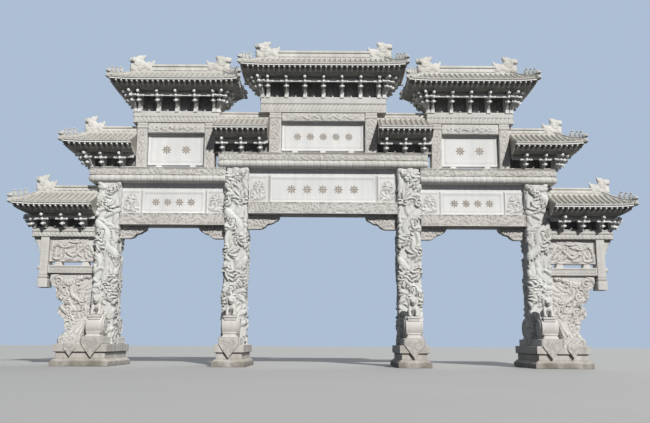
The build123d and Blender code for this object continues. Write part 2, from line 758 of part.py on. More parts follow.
def eave_outline(half_run, edge):
    """Corner points of half a roof section: run out from the middle, and height above the eave."""
    rafter = edge - RAFTER_INSET
    return {
        "ridge": (half_run, ROOF_RISE),
        "slope": ((half_run + edge) / 2, ROOF_RISE / 2 - ROOF_SAG),
        "eave": (edge, 0),
        "lip": (edge, -EAVE_EDGE),
        "rafter": (rafter, -EAVE_EDGE - RAFTER_DROP),
        "hollow": (rafter - COVE_INSET * 0.6, -SOFFIT_DROP + COVE_DROP * 0.6),
        "cove": (rafter - COVE_INSET, -SOFFIT_DROP),
    }


def roof_section(plane, halves, level):
    """Draws and closes a roof section from its two halves, low side first, on an upright plane."""
    low, high = halves
    with BuildSketch(plane) as section:
        with BuildLine():
            corners = [[(u, level + v) for u, v in half.values()] for half in (low, high)]
            for ridge, slope, eave, lip, rafter, hollow, cove in corners:
                ThreePointArc(ridge, slope, eave)
                Polyline(eave, lip, rafter)
                ThreePointArc(rafter, hollow, cove)
            Line(corners[0][0], corners[1][0])
            Line(corners[0][-1], corners[1][-1])
        make_face()
    return section.sketch


def flipped(half, middle):
    """The other half of a roof section, mirrored about its middle."""
    return {key: (2 * middle - u, v) for key, (u, v) in half.items()}


def straight_roof(x_low, x_high, level):
    """A roof between two upright faces: the section across it carried along X."""
    across = eave_outline(RIDGE_HALF_WIDTH, EAVE_HALF_DEPTH)
    section = roof_section(Plane.YZ.offset(x_low), (flipped(across, 0), across), level)
    with BuildPart() as length:
        extrude(section, amount=x_high - x_low)
    return length.part


def hip_waste(tip, toward, level):
    """What a hipped end leaves off a straight roof: its end block less the end section's shape."""
    inside = tip - toward * (HIP_RUN + EAVE_HALF_DEPTH)
    section = eave_outline(EAVE_HALF_DEPTH - HIP_RUN, EAVE_HALF_DEPTH)
    points = [(tip + toward * (u - EAVE_HALF_DEPTH), level + v) for u, v in section.values()]
    ridge, slope, eave, lip, rafter, hollow, cove = points
    with BuildPart() as waste:
        add(block(sorted((inside, tip)), (-EAVE_HALF_DEPTH, EAVE_HALF_DEPTH), (cove[1], ridge[1])))
        with BuildSketch(FRONT):
            with BuildLine():
                ThreePointArc(ridge, slope, eave)
                Polyline(eave, lip, rafter)
                ThreePointArc(rafter, hollow, cove)
                Polyline(cove, (inside, cove[1]), (inside, ridge[1]), ridge)
            make_face()
        extrude(amount=EAVE_HALF_DEPTH, both=True, mode=Mode.SUBTRACT)
    return waste.part


def corner_ridge(tip, toward, side, level):
    """A ridge down one hip, lifted at its end, drawn on the upright plane through the hip."""
    run = Vector(toward * HIP_RUN, side * (EAVE_HALF_DEPTH - RIDGE_HALF_WIDTH), 0)
    start = Vector(tip - toward * HIP_RUN, side * RIDGE_HALF_WIDTH, level)
    length = run.length
    plane = Plane(origin=start, x_dir=run, z_dir=run.cross(Vector(0, 0, 1)))
    rise = ROOF_RISE
    with BuildPart() as ridge:
        with BuildSketch(plane):
            with BuildLine():
                bend, swell = CORNER_BEND
                bend_lift, swell_lift = CORNER_BEND_LIFT
                top = ThreePointArc(
                    (0, rise + CORNER_RIDGE_HEIGHT),
                    (length / 2, rise / 2 - ROOF_SAG + CORNER_RIDGE_HEIGHT),
                    (length * bend, CORNER_RIDGE_HEIGHT + CORNER_LIFT * bend_lift),
                )
                lift = ThreePointArc(
                    top @ 1,
                    (length * swell, CORNER_RIDGE_HEIGHT + CORNER_LIFT * swell_lift),
                    (length, CORNER_RIDGE_HEIGHT + CORNER_LIFT),
                )
                edge = Line(lift @ 1, (length, 0))
                for along, level_share in CORNER_UNDERSIDE:
                    edge = Line(edge @ 1, (length * along, rise * level_share))
                Line(edge @ 1, top @ 0)
            make_face()
        extrude(amount=CORNER_RIDGE_WIDTH / 2, both=True)
    return ridge.part


def finial(tip, toward, level, size):
    """A ridge-end beast in outline: tail and horn swept inwards, brow, open mouth and chest outwards."""
    length, height = size
    outer = tip - toward * HIP_RUN * FINIAL_SETBACK
    foot = level + ROOF_RISE

    def spot(share, rise):
        return outer - toward * share * length, foot + rise * height

    with BuildPart() as beast:
        with BuildSketch(FRONT):
            with BuildLine():
                lower = Line(spot(FINIAL_ARCS[-1][-1][0], 0), spot(1, 0))
                edge = Line(lower @ 1, spot(*FINIAL_TAIL))
                for middle, end in FINIAL_ARCS:
                    edge = ThreePointArc(edge @ 1, spot(*middle), spot(*end))
            make_face()
        extrude(amount=FINIAL_THICKNESS / 2, both=True)
    return beast.part


def roof(wall, floor, zone, ridge_height, finial_size, reach):
    """A roof slab with cove and rafters' step, its ridge, corner ridges and ridge-end beasts."""
    level = floor + zone + SOFFIT_DROP
    tips = (wall[0] - reach[0], wall[1] + reach[1])
    hips = [(tip, toward) for tip, toward, out in zip(tips, (-1, 1), reach) if out]
    ridge_low = tips[0] + (HIP_RUN if reach[0] else 0)
    ridge_high = tips[1] - (HIP_RUN if reach[1] else 0)
    ridge_top = level + ROOF_RISE + ridge_height
    with BuildPart() as whole:
        add(straight_roof(*tips, level))
        for tip, toward in hips:
            add(hip_waste(tip, toward, level), mode=Mode.SUBTRACT)
        slab((ridge_low, ridge_high), (-RIDGE_HALF_WIDTH, RIDGE_HALF_WIDTH), (level + ROOF_RISE, ridge_top))
        for tip, toward in hips:
            for side in (-1, 1):
                add(corner_ridge(tip, toward, side, level))
            add(finial(tip, toward, level, finial_size))
        for span, low in ((side_lintel, SIDE_COLUMN_TOP), (centre_lintel, CENTRE_COLUMN_TOP)):
            if floor < low < ridge_top:
                add(block(span, (-lintel_half, lintel_half), (low, ridge_top)), mode=Mode.SUBTRACT)
    return whole.part


def bracket_set(x, y, floor, zone, turned):
    """A bracket set against the wall: a stepped beak and two cross arms, facing front or sideways."""
    reach = EAVE_HALF_DEPTH - RAFTER_INSET - COVE_INSET - WALL_HALF_DEPTH
    with BuildPart() as cluster:
        with BuildSketch(Plane.YZ):
            with BuildLine():
                steps = [(-reach * out, floor + zone * up) for out, up in BEAK_STEPS]
                Polyline((0, floor), *steps, (0, floor + zone), close=True)
            make_face()
        extrude(amount=BEAK_WIDTH / 2, both=True)
        for out, up in ARM_SHARES:
            arm_z = floor + zone * up
            slab(
                (-ARM_LENGTH / 2, ARM_LENGTH / 2),
                (-reach * out - ARM_DEPTH / 2, -reach * out + ARM_DEPTH / 2),
                (arm_z, arm_z + ARM_HEIGHT),
            )
    return cluster.part.rotate(Axis.Z, turned).translate(Vector(x, y, 0))


def bracket_zone(wall, floor, zone, reach):
    """The core wall of a tier with bracket sets in front, behind and at its hipped ends."""
    wall_low = wall[0] + (BAND_INSET * 2 if reach[0] else 0)
    wall_high = wall[1] - (BAND_INSET * 2 if reach[1] else 0)
    count = int((wall[1] - wall[0] - 2 * SET_MARGIN) // SET_PITCH) + 1
    first = (wall[0] + wall[1] - (count - 1) * SET_PITCH) / 2
    with BuildPart() as tier:
        slab((wall_low, wall_high), (-WALL_HALF_DEPTH, WALL_HALF_DEPTH), (floor, floor + zone))
        for index in range(count):
            x = first + index * SET_PITCH
            add(bracket_set(x, -WALL_HALF_DEPTH, floor, zone, 0))
            add(bracket_set(x, WALL_HALF_DEPTH, floor, zone, 180))
        if reach[0]:
            add(bracket_set(wall_low, 0, floor + END_SET_LIFT, zone - END_SET_LIFT, -90))
        if reach[1]:
            add(bracket_set(wall_high, 0, floor + END_SET_LIFT, zone - END_SET_LIFT, 90))
    return tier.part


for tier_name, (wall, floor, zone, ridge_height, finial_size) in tiers.items():
    reach = overhangs[tier_name]
    roof_part = roof(wall, floor, zone, ridge_height, finial_size, reach)
    zone_part = bracket_zone(wall, floor, zone, reach)
    if tier_name == "top_centre":
        save(roof_part, "roof_top_centre")
        save(zone_part, "brackets_top_centre")
    else:
        save(roof_part, f"roof_{tier_name}_right")
        save(twin(roof_part), f"roof_{tier_name}_left")
        save(zone_part, f"brackets_{tier_name}_right")
        save(twin(zone_part), f"brackets_{tier_name}_left")
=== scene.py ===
"""Stone memorial gate with dragon pillars and nine tiled roofs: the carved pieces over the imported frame.

Metres, Z up, the front faces -Y. Right-hand pieces are worked out first and mirrored to the left.
"""

import logging
import math
from dataclasses import dataclass, field, replace
from enum import Enum
from typing import Callable

import bpy
import numpy as np
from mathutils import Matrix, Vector


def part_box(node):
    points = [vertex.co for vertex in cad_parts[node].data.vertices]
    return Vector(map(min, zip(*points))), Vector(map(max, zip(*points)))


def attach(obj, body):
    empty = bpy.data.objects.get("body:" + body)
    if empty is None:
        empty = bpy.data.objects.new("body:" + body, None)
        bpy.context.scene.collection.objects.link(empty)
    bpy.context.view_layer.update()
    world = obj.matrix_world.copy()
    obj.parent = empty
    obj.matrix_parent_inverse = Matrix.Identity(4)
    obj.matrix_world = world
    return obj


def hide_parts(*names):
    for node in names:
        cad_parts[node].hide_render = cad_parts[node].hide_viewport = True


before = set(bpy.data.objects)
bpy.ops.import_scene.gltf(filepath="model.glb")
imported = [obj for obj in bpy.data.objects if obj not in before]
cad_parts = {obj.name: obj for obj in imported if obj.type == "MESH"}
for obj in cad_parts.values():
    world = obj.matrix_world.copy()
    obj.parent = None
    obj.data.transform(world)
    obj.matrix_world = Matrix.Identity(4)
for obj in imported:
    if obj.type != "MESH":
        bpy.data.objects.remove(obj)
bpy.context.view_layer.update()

LOG = logging.getLogger("gate")
Array = np.ndarray
Relief = Callable[[Array, Array], Array]
Socket = bpy.types.NodeSocket
UPWARD = np.array([0.0, 0.0, 1.0])
TURN = 2 * math.pi


class Run(Enum):
    """The way a long stone lies."""

    ALONG = "along the gate"
    UP = "upright"


# Shapes


def stacked(*measures: Array | float) -> Array:
    """Points from their measures, which are first brought to one shape."""
    return np.stack(np.broadcast_arrays(*measures), axis=-1)


def polar(angle: Array | float) -> Array:
    """The points of the unit circle at the angles: cosine and sine."""
    return stacked(np.cos(angle), np.sin(angle))


@dataclass
class Shape:
    """Points with four- and three-cornered faces, and how deep each point lies in a carved ground."""

    points: Array
    quads: Array
    triangles: Array
    hollow: Array

    def outward(self) -> "Shape":
        """Turns the faces of a closed shape outwards, by the sign of the volume that they enclose."""
        corners = np.concatenate([self.quads[:, [0, 1, 2]], self.quads[:, [0, 2, 3]], self.triangles])
        faces = self.points[corners] - self.points.mean(axis=0)
        volume = np.einsum("ij,ij->", faces[:, 0], np.cross(faces[:, 1], faces[:, 2]))
        return self if volume > 0 else self.flipped()

    def flipped(self) -> "Shape":
        """The same points with every face turned over."""
        return replace(self, quads=self.quads[:, ::-1], triangles=self.triangles[:, ::-1])

    def moved(self, x: float = 0.0, y: float = 0.0, z: float = 0.0) -> "Shape":
        """The shape carried to another place."""
        return replace(self, points=self.points + np.array([x, y, z]))

    def scaled(self, x: float, y: float, z: float) -> "Shape":
        """The shape stretched about the origin."""
        return replace(self, points=self.points * np.array([x, y, z]))

    def mirrored(self, axis: int) -> "Shape":
        """The mirror image through the origin across one axis, with its faces still outwards."""
        factors = np.ones(3)
        factors[axis] = -1.0
        return self.scaled(*factors).flipped()

    def turned(self, angle: float, axis: int = 2) -> "Shape":
        """The shape turned about an axis through the origin, in the plane of the two other coordinates.

        Args:
            angle: How far it turns, in radians.
            axis: 0, 1 or 2 for X, Y or Z.

        Returns:
            The turned shape.
        """
        first, second = [(1, 2), (2, 0), (0, 1)][axis]
        one, two = self.points[:, first], self.points[:, second]
        points = self.points.copy()
        points[:, first] = math.cos(angle) * one - math.sin(angle) * two
        points[:, second] = math.sin(angle) * one + math.cos(angle) * two
        return replace(self, points=points)

    def repeated(self, points: Array) -> "Shape":
        """The shape's faces over each of many sets of points: sets by points by 3."""
        steps = (np.arange(len(points)) * points.shape[1])[:, None, None]
        quads, triangles = (self.quads + steps).reshape(-1, 4), (self.triangles + steps).reshape(-1, 3)
        return Shape(points.reshape(-1, 3), quads, triangles, np.tile(self.hollow, len(points)))

    def copies(self, places: Array, turns: Array | float = 0.0) -> "Shape":
        """Repeats the shape: each copy is the shape turned about Z and added to its place.

        Args:
            places: One row of X, Y and Z for each copy.
            turns: The angle about Z, of each copy or of all.

        Returns:
            All the copies as one shape.
        """
        places = np.asarray(places, float).reshape(-1, 3)
        angles = np.broadcast_to(turns, len(places))[:, None]
        x, y, z = self.points.T
        turned = stacked(np.cos(angles) * x - np.sin(angles) * y, np.sin(angles) * x + np.cos(angles) * y, z)
        return self.repeated(turned + places[:, None])


def join(shapes: list[Shape]) -> Shape:
    """Puts shapes into one, each keeping its own points.

    Args:
        shapes: The shapes to put together.

    Returns:
        One shape.
    """
    starts = np.cumsum([0] + [len(shape.points) for shape in shapes[:-1]])
    return Shape(
        np.concatenate([shape.points for shape in shapes]),
        np.concatenate([shape.quads + start for shape, start in zip(shapes, starts)]),
        np.concatenate([shape.triangles + start for shape, start in zip(shapes, starts)]),
        np.concatenate([shape.hollow for shape in shapes]),
    )


def both_faces(shape: Shape) -> Shape:
    """A shape in front and its mirror image behind."""
    return join([shape, shape.mirrored(1)])


def surface(points: Array, hollow: Array | None = None) -> Shape:
    """Faces over a grid of points: row i is joined to row i+1, and the last column to the first.

    Args:
        points: Rows by columns by 3.
        hollow: Rows by columns, the depth in a carved ground.

    Returns:
        A closed shape, whose first and last rows are fanned to their middles.
    """
    index = np.arange(points.shape[0] * points.shape[1]).reshape(points.shape[:2])
    beside = np.roll(index, -1, axis=1)
    quads = stacked(index[:-1], index[1:], beside[1:], beside[:-1]).reshape(-1, 4)
    fans = [stacked(index.size, index[0], beside[0]), stacked(index.size + 1, beside[-1], index[-1])]
    depth = np.zeros(index.size) if hollow is None else hollow.reshape(-1)
    flat = np.concatenate([points.reshape(-1, 3), points[[0, -1]].mean(axis=1)])
    return Shape(flat, quads, np.concatenate(fans), np.append(depth, depth[[0, -1]])).outward()


def bundle(points: Array) -> Shape:
    """Many closed bars at once, from bars by rows by columns by 3."""
    middles = points[:, [0, -1]].mean(axis=2)
    every = np.concatenate([points.reshape(len(points), -1, 3), middles], axis=1)
    return surface(points[0]).repeated(every)


def carried(
    profile: Array, path: Array, across: Array, upward: Array = UPWARD, scale: Array | float = 1.0
) -> Shape:
    """A closed profile carried along a path: path point + scale x (first measure x across + second x upward).

    Args:
        profile: The profile's points, two measures each.
        path: The path's points.
        across: The direction of the first measure, for each path point or for all.
        upward: The direction of the second measure, for each path point or for all.
        scale: The size of the profile at each path point.

    Returns:
        A closed shape.
    """
    size = np.broadcast_to(scale, len(path))[:, None, None]
    across, upward = (np.broadcast_to(way, path.shape)[:, None] for way in (across, upward))
    return surface(path[:, None] + size * (profile[:, :1] * across + profile[:, 1:] * upward))


def round_profile(count: int, width: float = 1.0, height: float = 1.0) -> Array:
    """An ellipse of so many points: cosine and sine of equal angles times the two half sizes."""
    return polar(np.arange(count) * TURN / count) * [width, height]


def tube(path: Array, radius: Array | float, count: int = 8, flat: float = 1.0) -> Shape:
    """A round bar along a path: circles square to the path's own direction.

    Args:
        path: The points of the middle line.
        radius: The radius at each point.
        count: Points round the bar.
        flat: Height over width of its section.

    Returns:
        A closed shape.
    """
    along = np.gradient(path, axis=0)
    along /= np.linalg.norm(along, axis=1, keepdims=True) + 1e-9
    guide = UPWARD if abs(along[:, 2]).mean() < 0.8 else np.array([0.0, 1.0, 0.0])
    across = np.cross(along, guide)
    across /= np.linalg.norm(across, axis=1, keepdims=True) + 1e-9
    return carried(round_profile(count, 1.0, flat), path, across, np.cross(across, along), radius)


def horn(knots: list[tuple], radii: tuple, samples: int = 6, count: int = 8, flat: float = 1.0) -> Shape:
    """A round bar along a smooth line through points, with a radius at each sample of it."""
    return tube(smooth_line(knots, samples), np.array(radii), count, flat)


def ball(radius: float, count: int = 8, rings: int = 5) -> Shape:
    """A sphere about the origin: circles whose radius is the sine of equal steps from pole to pole.

    Args:
        radius: Its radius.
        count: Points round each circle.
        rings: Circles between its poles.

    Returns:
        A closed shape.
    """
    steep = np.linspace(0, math.pi, rings + 2)[1:-1, None]
    x, y = round_profile(count).T
    shape = surface(stacked(np.sin(steep) * x, np.sin(steep) * y, np.cos(steep)) * radius)
    shape.points[-2:] = np.array([[0.0, 0.0, radius], [0.0, 0.0, -radius]])
    return shape


def egg(centre: tuple, sizes: tuple, pitch: float = 0.0, count: int = 12) -> Shape:
    """A sphere stretched to three half sizes, pitched about Y and put in its place."""
    return ball(1.0, count, count // 2 + 1).scaled(*sizes).turned(pitch, 1).moved(*centre)


def box_corners() -> tuple[Array, Array, Array]:
    """The 24 corner marks of a block with worn edges, its 18 four-cornered faces and its 8 corner faces.

    Returns:
        The marks as signs, three for each corner and each for one face axis, the quads and the triangles.
    """
    signs = np.array([[x, y, z] for x in (-1, 1) for y in (-1, 1) for z in (-1, 1)])
    weight = (4, 2, 1)
    pairs = ((0, 0), (1, 0), (1, 1), (0, 1))
    quads = []
    for axis in range(3):
        one, two = [other for other in range(3) if other != axis]
        corners = [a * weight[one] + b * weight[two] for a, b in pairs]
        quads += [[(sign * weight[axis] + corner) * 3 + axis for corner in corners] for sign in (0, 1)]
        for low in corners:
            high = low + weight[axis]
            quads.append([low * 3 + one, high * 3 + one, high * 3 + two, low * 3 + two])
    marks = np.repeat(signs, 3, axis=0)
    edge = marks - 0.2 * marks * (1 - np.tile(np.eye(3), (8, 1)))

    def faced_out(faces: Array) -> Array:
        """The faces, those that look inwards turned over."""
        first, second, third = edge[faces[:, 0]], edge[faces[:, 1]], edge[faces[:, 2]]
        wrong = (np.cross(second - first, third - first) * marks[faces].mean(axis=1)).sum(axis=1) < 0
        return np.where(wrong[:, None], faces[:, ::-1], faces)

    return marks, faced_out(np.array(quads)), faced_out(np.arange(24).reshape(8, 3))


BOX_MARKS, BOX_QUADS, BOX_TRIANGLES = box_corners()


def block(low: tuple, high: tuple, edge: float = 0.01) -> Shape:
    """A block between two corners whose edges are worn by so much: each corner is drawn in from two faces."""
    low, high = np.minimum(low, high), np.maximum(low, high)
    face = np.tile(np.eye(3), (8, 1))
    points = BOX_MARKS * ((high - low) / 2 - edge * (1 - face)) + (low + high) / 2
    return Shape(points, BOX_QUADS, BOX_TRIANGLES, np.zeros(len(points)))


def plate(outline: Array, thickness: float, edge: float = 0.01) -> Shape:
    """A flat plate from an outline seen from the front: rings from its middle, round the rim and back.

    Each ring is the outline drawn towards its middle by a share, at a depth that bulges over the rim.

    Args:
        outline: Points of the outline in X and Z.
        thickness: The depth in Y.
        edge: The wear of its rim.

    Returns:
        A closed shape.
    """
    middle = outline.mean(axis=0)
    inner = 1 - edge / np.abs(outline - middle).max()
    shares = np.array([0.5, inner, 1.0, 1.0, inner, 0.5])
    depths = np.array([-0.5, -0.5, edge / thickness - 0.5, 0.5 - edge / thickness, 0.5, 0.5]) * thickness
    spread = middle + shares[:, None, None] * (outline - middle)
    return surface(stacked(spread[..., 0], depths[:, None], spread[..., 1]))


def support(x: float, bottom: float, top: float, depth: float) -> Shape:
    """A small block under a stone, 0.3 m long at its foot and 0.2 m at its top."""
    outline = np.array([(x - 0.15, bottom), (x + 0.15, bottom), (x + 0.1, top), (x - 0.1, top)])
    return plate(outline, depth, edge=0.012)


def smooth_line(corners: list[tuple], count: int) -> Array:
    """A smooth line of so many points: a Catmull-Rom curve, cubic between each pair, sampled evenly.

    Args:
        corners: The points that it runs through.
        count: Points to make.

    Returns:
        The line's points.
    """
    knots = np.asarray(corners, float)
    padded = np.concatenate([2 * knots[:1] - knots[1:2], knots, 2 * knots[-1:] - knots[-2:-1]])
    place = np.linspace(0, len(knots) - 1 - 1e-9, count)
    index = place.astype(int)
    t = (place - index)[:, None]
    a, b, c, d = (padded[index + step] for step in range(4))
    return 0.5 * (2 * b + (c - a) * t + (2 * a - 5 * b + 4 * c - d) * t**2 + (3 * b - a - 3 * c + d) * t**3)


# Carving


@dataclass(frozen=True)
class Stroke:
    """A rounded ridge along a line on a face, with a half width at each point and a pitch of scales or 0."""

    line: Array
    width: Array
    height: float
    scales: float = 0.0

    def shifted(self, along: float, across: float = 0.0) -> "Stroke":
        """The stroke laid elsewhere on its face."""
        return replace(self, line=self.line + np.array([along, across]))


def stroke(corners: list[tuple], widths: tuple, height: float) -> Stroke:
    """A smooth stroke through points, its half width changing evenly through the ones given."""
    samples = 8 * len(corners)
    width = np.interp(np.linspace(0, 1, samples), np.linspace(0, 1, len(widths)), widths)
    return Stroke(smooth_line(corners, samples), width, height)


def curl(centre: tuple, radius: float, start: float, turns: float, width: float, height: float) -> Stroke:
    """A spiral: the radius shrinks evenly as the angle turns; negative turns go the other way."""
    t = np.linspace(0, 1, max(10, int(22 * abs(turns))))
    line = centre + polar(start + turns * TURN * t) * (radius * (1 - 0.86 * t))[:, None]
    return Stroke(line, width * (1 - 0.35 * t), height)


def leaf(root: tuple, angle: float, length: float, width: float, height: float, bend: float = 0.0) -> Stroke:
    """A pointed leaf: its direction turns evenly by the bend, and its half width is a sine along it."""
    t = np.linspace(0, 1, 12)
    line = root + np.cumsum(polar(angle + bend * t), axis=0) * (length / len(t))
    return Stroke(line, width * np.sin(math.pi * (0.12 + 0.83 * t)), height)


def cloud(centre: tuple, size: float, angle: float, height: float) -> list[Stroke]:
    """A cloud: a large curl of its size, a smaller one on each side and a pointed tail at its angle.

    Args:
        centre: The middle of its large curl.
        size: The radius of that curl.
        angle: The way that its tail points.
        height: How far it stands up.

    Returns:
        Its strokes.
    """
    way = polar(angle)
    middle = np.array(centre) + way * size * 0.35
    across = np.array([-way[1], way[0]]) * size * 1.05
    return [
        leaf(centre, angle, size * 2.6, size * 0.36, height * 0.8, 0.5),
        curl(centre, size, angle + math.pi / 2, 1.4, size * 0.3, height),
        curl(middle + across, size * 0.62, angle, -1.2, size * 0.24, height * 0.85),
        curl(middle - across, size * 0.62, angle, 1.2, size * 0.24, height * 0.85),
    ]


def vine(length: float, middle: float, swing: float, pitch: float, height: float) -> list[Stroke]:
    """A running vine: a wave of a stem with a curl in each bend and a leaf on each crest.

    Args:
        length: How far it runs.
        middle: The height of its middle line on the face.
        swing: How far the wave goes to each side.
        pitch: The length of one whole wave.
        height: How far it stands up.

    Returns:
        Its strokes.
    """
    count = max(1, round(2 * length / pitch))
    half = length / count
    along = np.linspace(0, length, 12 * count)
    wave = middle + swing * np.sin(math.pi * along / half)
    strokes = [Stroke(stacked(along, wave), np.full(len(along), swing * 0.16), height * 0.7)]
    for bend in range(count):
        side = 1 if bend % 2 else -1
        x = (bend + 0.5) * half
        spots = [
            (x + shift * half, middle + side * swing * rise)
            for shift, rise in ((0, 0.25), (-0.3, -0.5), (0.32, 0.2))
        ]
        strokes += [
            curl(spots[0], swing * 0.75, math.pi * bend, 1.3 * side, swing * 0.2, height),
            leaf(spots[1], side * 0.9, swing * 0.9, swing * 0.2, height, 0.8),
            leaf(spots[2], side * 1.3, swing * 0.8, swing * 0.22, height, -0.9),
        ]
    return strokes


def petals(length: float, low: float, high: float, pitch: float, height: float) -> list[Stroke]:
    """A band of slanting petals: pointed leaves at one pitch from the lower line to the upper one.

    Args:
        length: The length of the band.
        low: The height of its lower line.
        high: The height of its upper line.
        pitch: The distance between petals, about.
        height: How far they stand up.

    Returns:
        Their strokes.
    """
    count = max(1, round(length / pitch))
    pitch = length / count
    rise = high - low
    reach, angle = math.hypot(rise, rise * 0.8), math.atan2(rise, rise * 0.8)
    return [
        leaf(((n + 0.1) * pitch - rise * 0.3, low), angle, reach, pitch * 0.42, height, 0.15)
        for n in range(count)
    ]


def rosette(centre: tuple, size: float, height: float, count: int = 8) -> list[Stroke]:
    """A small flower: equal petals round a bud.

    Args:
        centre: Its middle.
        size: Its radius.
        height: How far it stands up.
        count: The number of petals.

    Returns:
        Its strokes.
    """
    petal = (size * 0.85, size * 0.22, height)
    leaves_round = [
        leaf(centre + 0.2 * size * polar(turn), turn, *petal) for turn in np.arange(count) * TURN / count
    ]
    bud = [centre, (centre[0] + 0.01 * size, centre[1])]
    return leaves_round + [stroke(bud, (size * 0.24, size * 0.24), height * 1.1)]


def dragon(path: list[tuple], width: float, height: float, hand: int = 1) -> list[Stroke]:
    """A scaled dragon: tapering body, back fins, four clawed legs, head with horns and mane, tail flame.

    Args:
        path: Points along its body from neck to tail.
        width: Half the width of its body.
        height: How far it stands up.
        hand: The side that its fins are on.

    Returns:
        Its strokes.
    """
    samples = 14 * len(path)
    line = smooth_line(path, samples)
    heading = np.gradient(line, axis=0)
    heading /= np.linalg.norm(heading, axis=1, keepdims=True) + 1e-9
    normal = stacked(-heading[:, 1], heading[:, 0]) * hand
    body = width * np.interp(np.linspace(0, 1, samples), [0, 0.15, 0.6, 1], [0.8, 1.0, 0.85, 0.25])
    strokes = [Stroke(line, body, height, width * 0.5)]
    for at in range(4, samples - 4, 5):
        angle = math.atan2(*(normal[at] + heading[at] * 0.8)[::-1])
        strokes.append(
            leaf(line[at] + normal[at] * body[at] * 0.7, angle, width * 0.9, width * 0.22, height * 0.8)
        )
    for share, side in ((0.2, -1), (0.28, 1), (0.62, -1), (0.7, 1)):
        at = int(share * samples)
        out = normal[at] * side
        hip = line[at] + out * body[at] * 0.5
        knee = hip + out * width * 1.3 + heading[at] * width * 0.8
        foot = knee - heading[at] * width * 0.9 + out * width * 0.7
        lean = math.atan2(foot[1] - knee[1], foot[0] - knee[0])
        claws = [
            leaf(foot, lean + spread, width * 0.9, width * 0.13, height * 0.8, spread)
            for spread in (-0.8, 0.0, 0.8)
        ]
        strokes += [
            stroke([hip, knee, foot], (width * 0.5, width * 0.34, width * 0.24), height * 0.9),
            *claws,
            curl(hip + out * width * 0.6, width * 0.42, lean, 1.1 * side, width * 0.13, height),
        ]
    neck, way, side = line[0], -heading[0], normal[0]
    brow = neck + way * width * 0.9
    jaw = [brow - side * width * 0.5, brow + way * width * 0.8 - side * width * 0.7]
    angle = math.atan2(way[1], way[0])
    back = angle + math.pi
    strokes += [
        stroke(
            [neck, brow, brow + way * width * 0.9], (width * 0.95, width * 0.9, width * 0.5), height * 1.15
        ),
        stroke(jaw, (width * 0.3, width * 0.2), height),
        leaf(brow + side * width * 0.4, back - 0.5 * hand, width * 2.2, width * 0.16, height, 0.5 * hand),
        leaf(brow - side * width * 0.1, back - 0.9 * hand, width * 1.8, width * 0.14, height, 0.6 * hand),
        curl(
            brow + (way * 0.9 + side * 0.2) * width, width * 0.32, angle, 1.1 * hand,
            width * 0.13, height * 1.2,
        ),
        curl(brow + side * width * 0.3, width * 0.26, angle, 1.0, width * 0.12, height * 1.3),
    ]
    for shift, lift in ((-0.9, 0.7), (-0.5, 0.4), (0.9, -0.7), (1.2, -1.0)):
        strokes.append(
            leaf(neck + side * width * shift, back + lift, width * 1.7, width * 0.2, height * 0.95, lift)
        )
    tail = math.atan2(*heading[-1][::-1])
    return strokes + [
        leaf(line[-1], tail + lift, width * 1.8, width * 0.25, height * 0.8, lift)
        for lift in (-0.7, 0.0, 0.7)
    ]


def scatter(width: float, height: float, pitch: float, size: float, rise: float, seed: int) -> list[Stroke]:
    """Clouds of about one size in a jittered grid over a face, each turned by chance.

    Args:
        width: The face's first measure.
        height: Its second measure.
        pitch: The distance between clouds.
        size: Their radius.
        rise: How far they stand up.
        seed: The seed of their places.

    Returns:
        Their strokes.
    """
    chance = np.random.default_rng(seed)
    marks = []
    for x in np.arange(pitch / 2, width, pitch):
        for y in np.arange(pitch / 2, height, pitch):
            shift = chance.uniform(-0.3, 0.3, 2) * pitch
            turn = chance.uniform(0, TURN)
            marks += cloud((x + shift[0], y + shift[1]), size * chance.uniform(0.75, 1.15), turn, rise)
    return marks


def swells(
    width: float, height: float, pitch: float, length: float, rise: float, seed: int, way: float = 0.0
) -> list[Stroke]:
    """Long bent leaves that drift over a face like folds, their way a slow sine of their place.

    Args:
        width: The face's first measure.
        height: Its second measure.
        pitch: The distance between them.
        length: How long they are.
        rise: How far they stand up.
        seed: The seed of their places.
        way: The angle that they keep to.

    Returns:
        Their strokes.
    """
    chance = np.random.default_rng(seed)
    marks = []
    for x in np.arange(0.0, width, pitch):
        for y in np.arange(pitch / 2, height, pitch):
            spot = (x + chance.uniform(-0.4, 0.4) * pitch, y + chance.uniform(-0.4, 0.4) * pitch)
            angle = way + 0.9 * math.sin(3.1 * spot[0] + 1.7 * spot[1]) + chance.uniform(-0.25, 0.25)
            bend = math.cos(2.3 * spot[0] - 2.9 * spot[1])
            bend += math.copysign(0.8, bend)
            size = length * chance.uniform(0.7, 1.2)
            marks.append(leaf(spot, angle, size, size * 0.13, rise * chance.uniform(0.8, 1.1), bend))
    return marks


def plumes(
    root: tuple, angle: float, length: float, spread: float, count: int, width: float, rise: float
) -> list[Stroke]:
    """A fan of long bent feathers from one root, the outer two a spread apart.

    Args:
        root: The point that they grow from.
        angle: The way of the middle one.
        length: The length of the longest.
        spread: The angle between the outer two.
        count: The number of feathers.
        width: Half their width.
        rise: How far they stand up.

    Returns:
        Their strokes.
    """
    shares = np.linspace(-0.5, 0.5, count)
    return [
        leaf(root, angle + spread * share, length * (1 - 0.3 * abs(share)), width, rise, 1.2 * share + 1.1)
        for share in shares
    ]


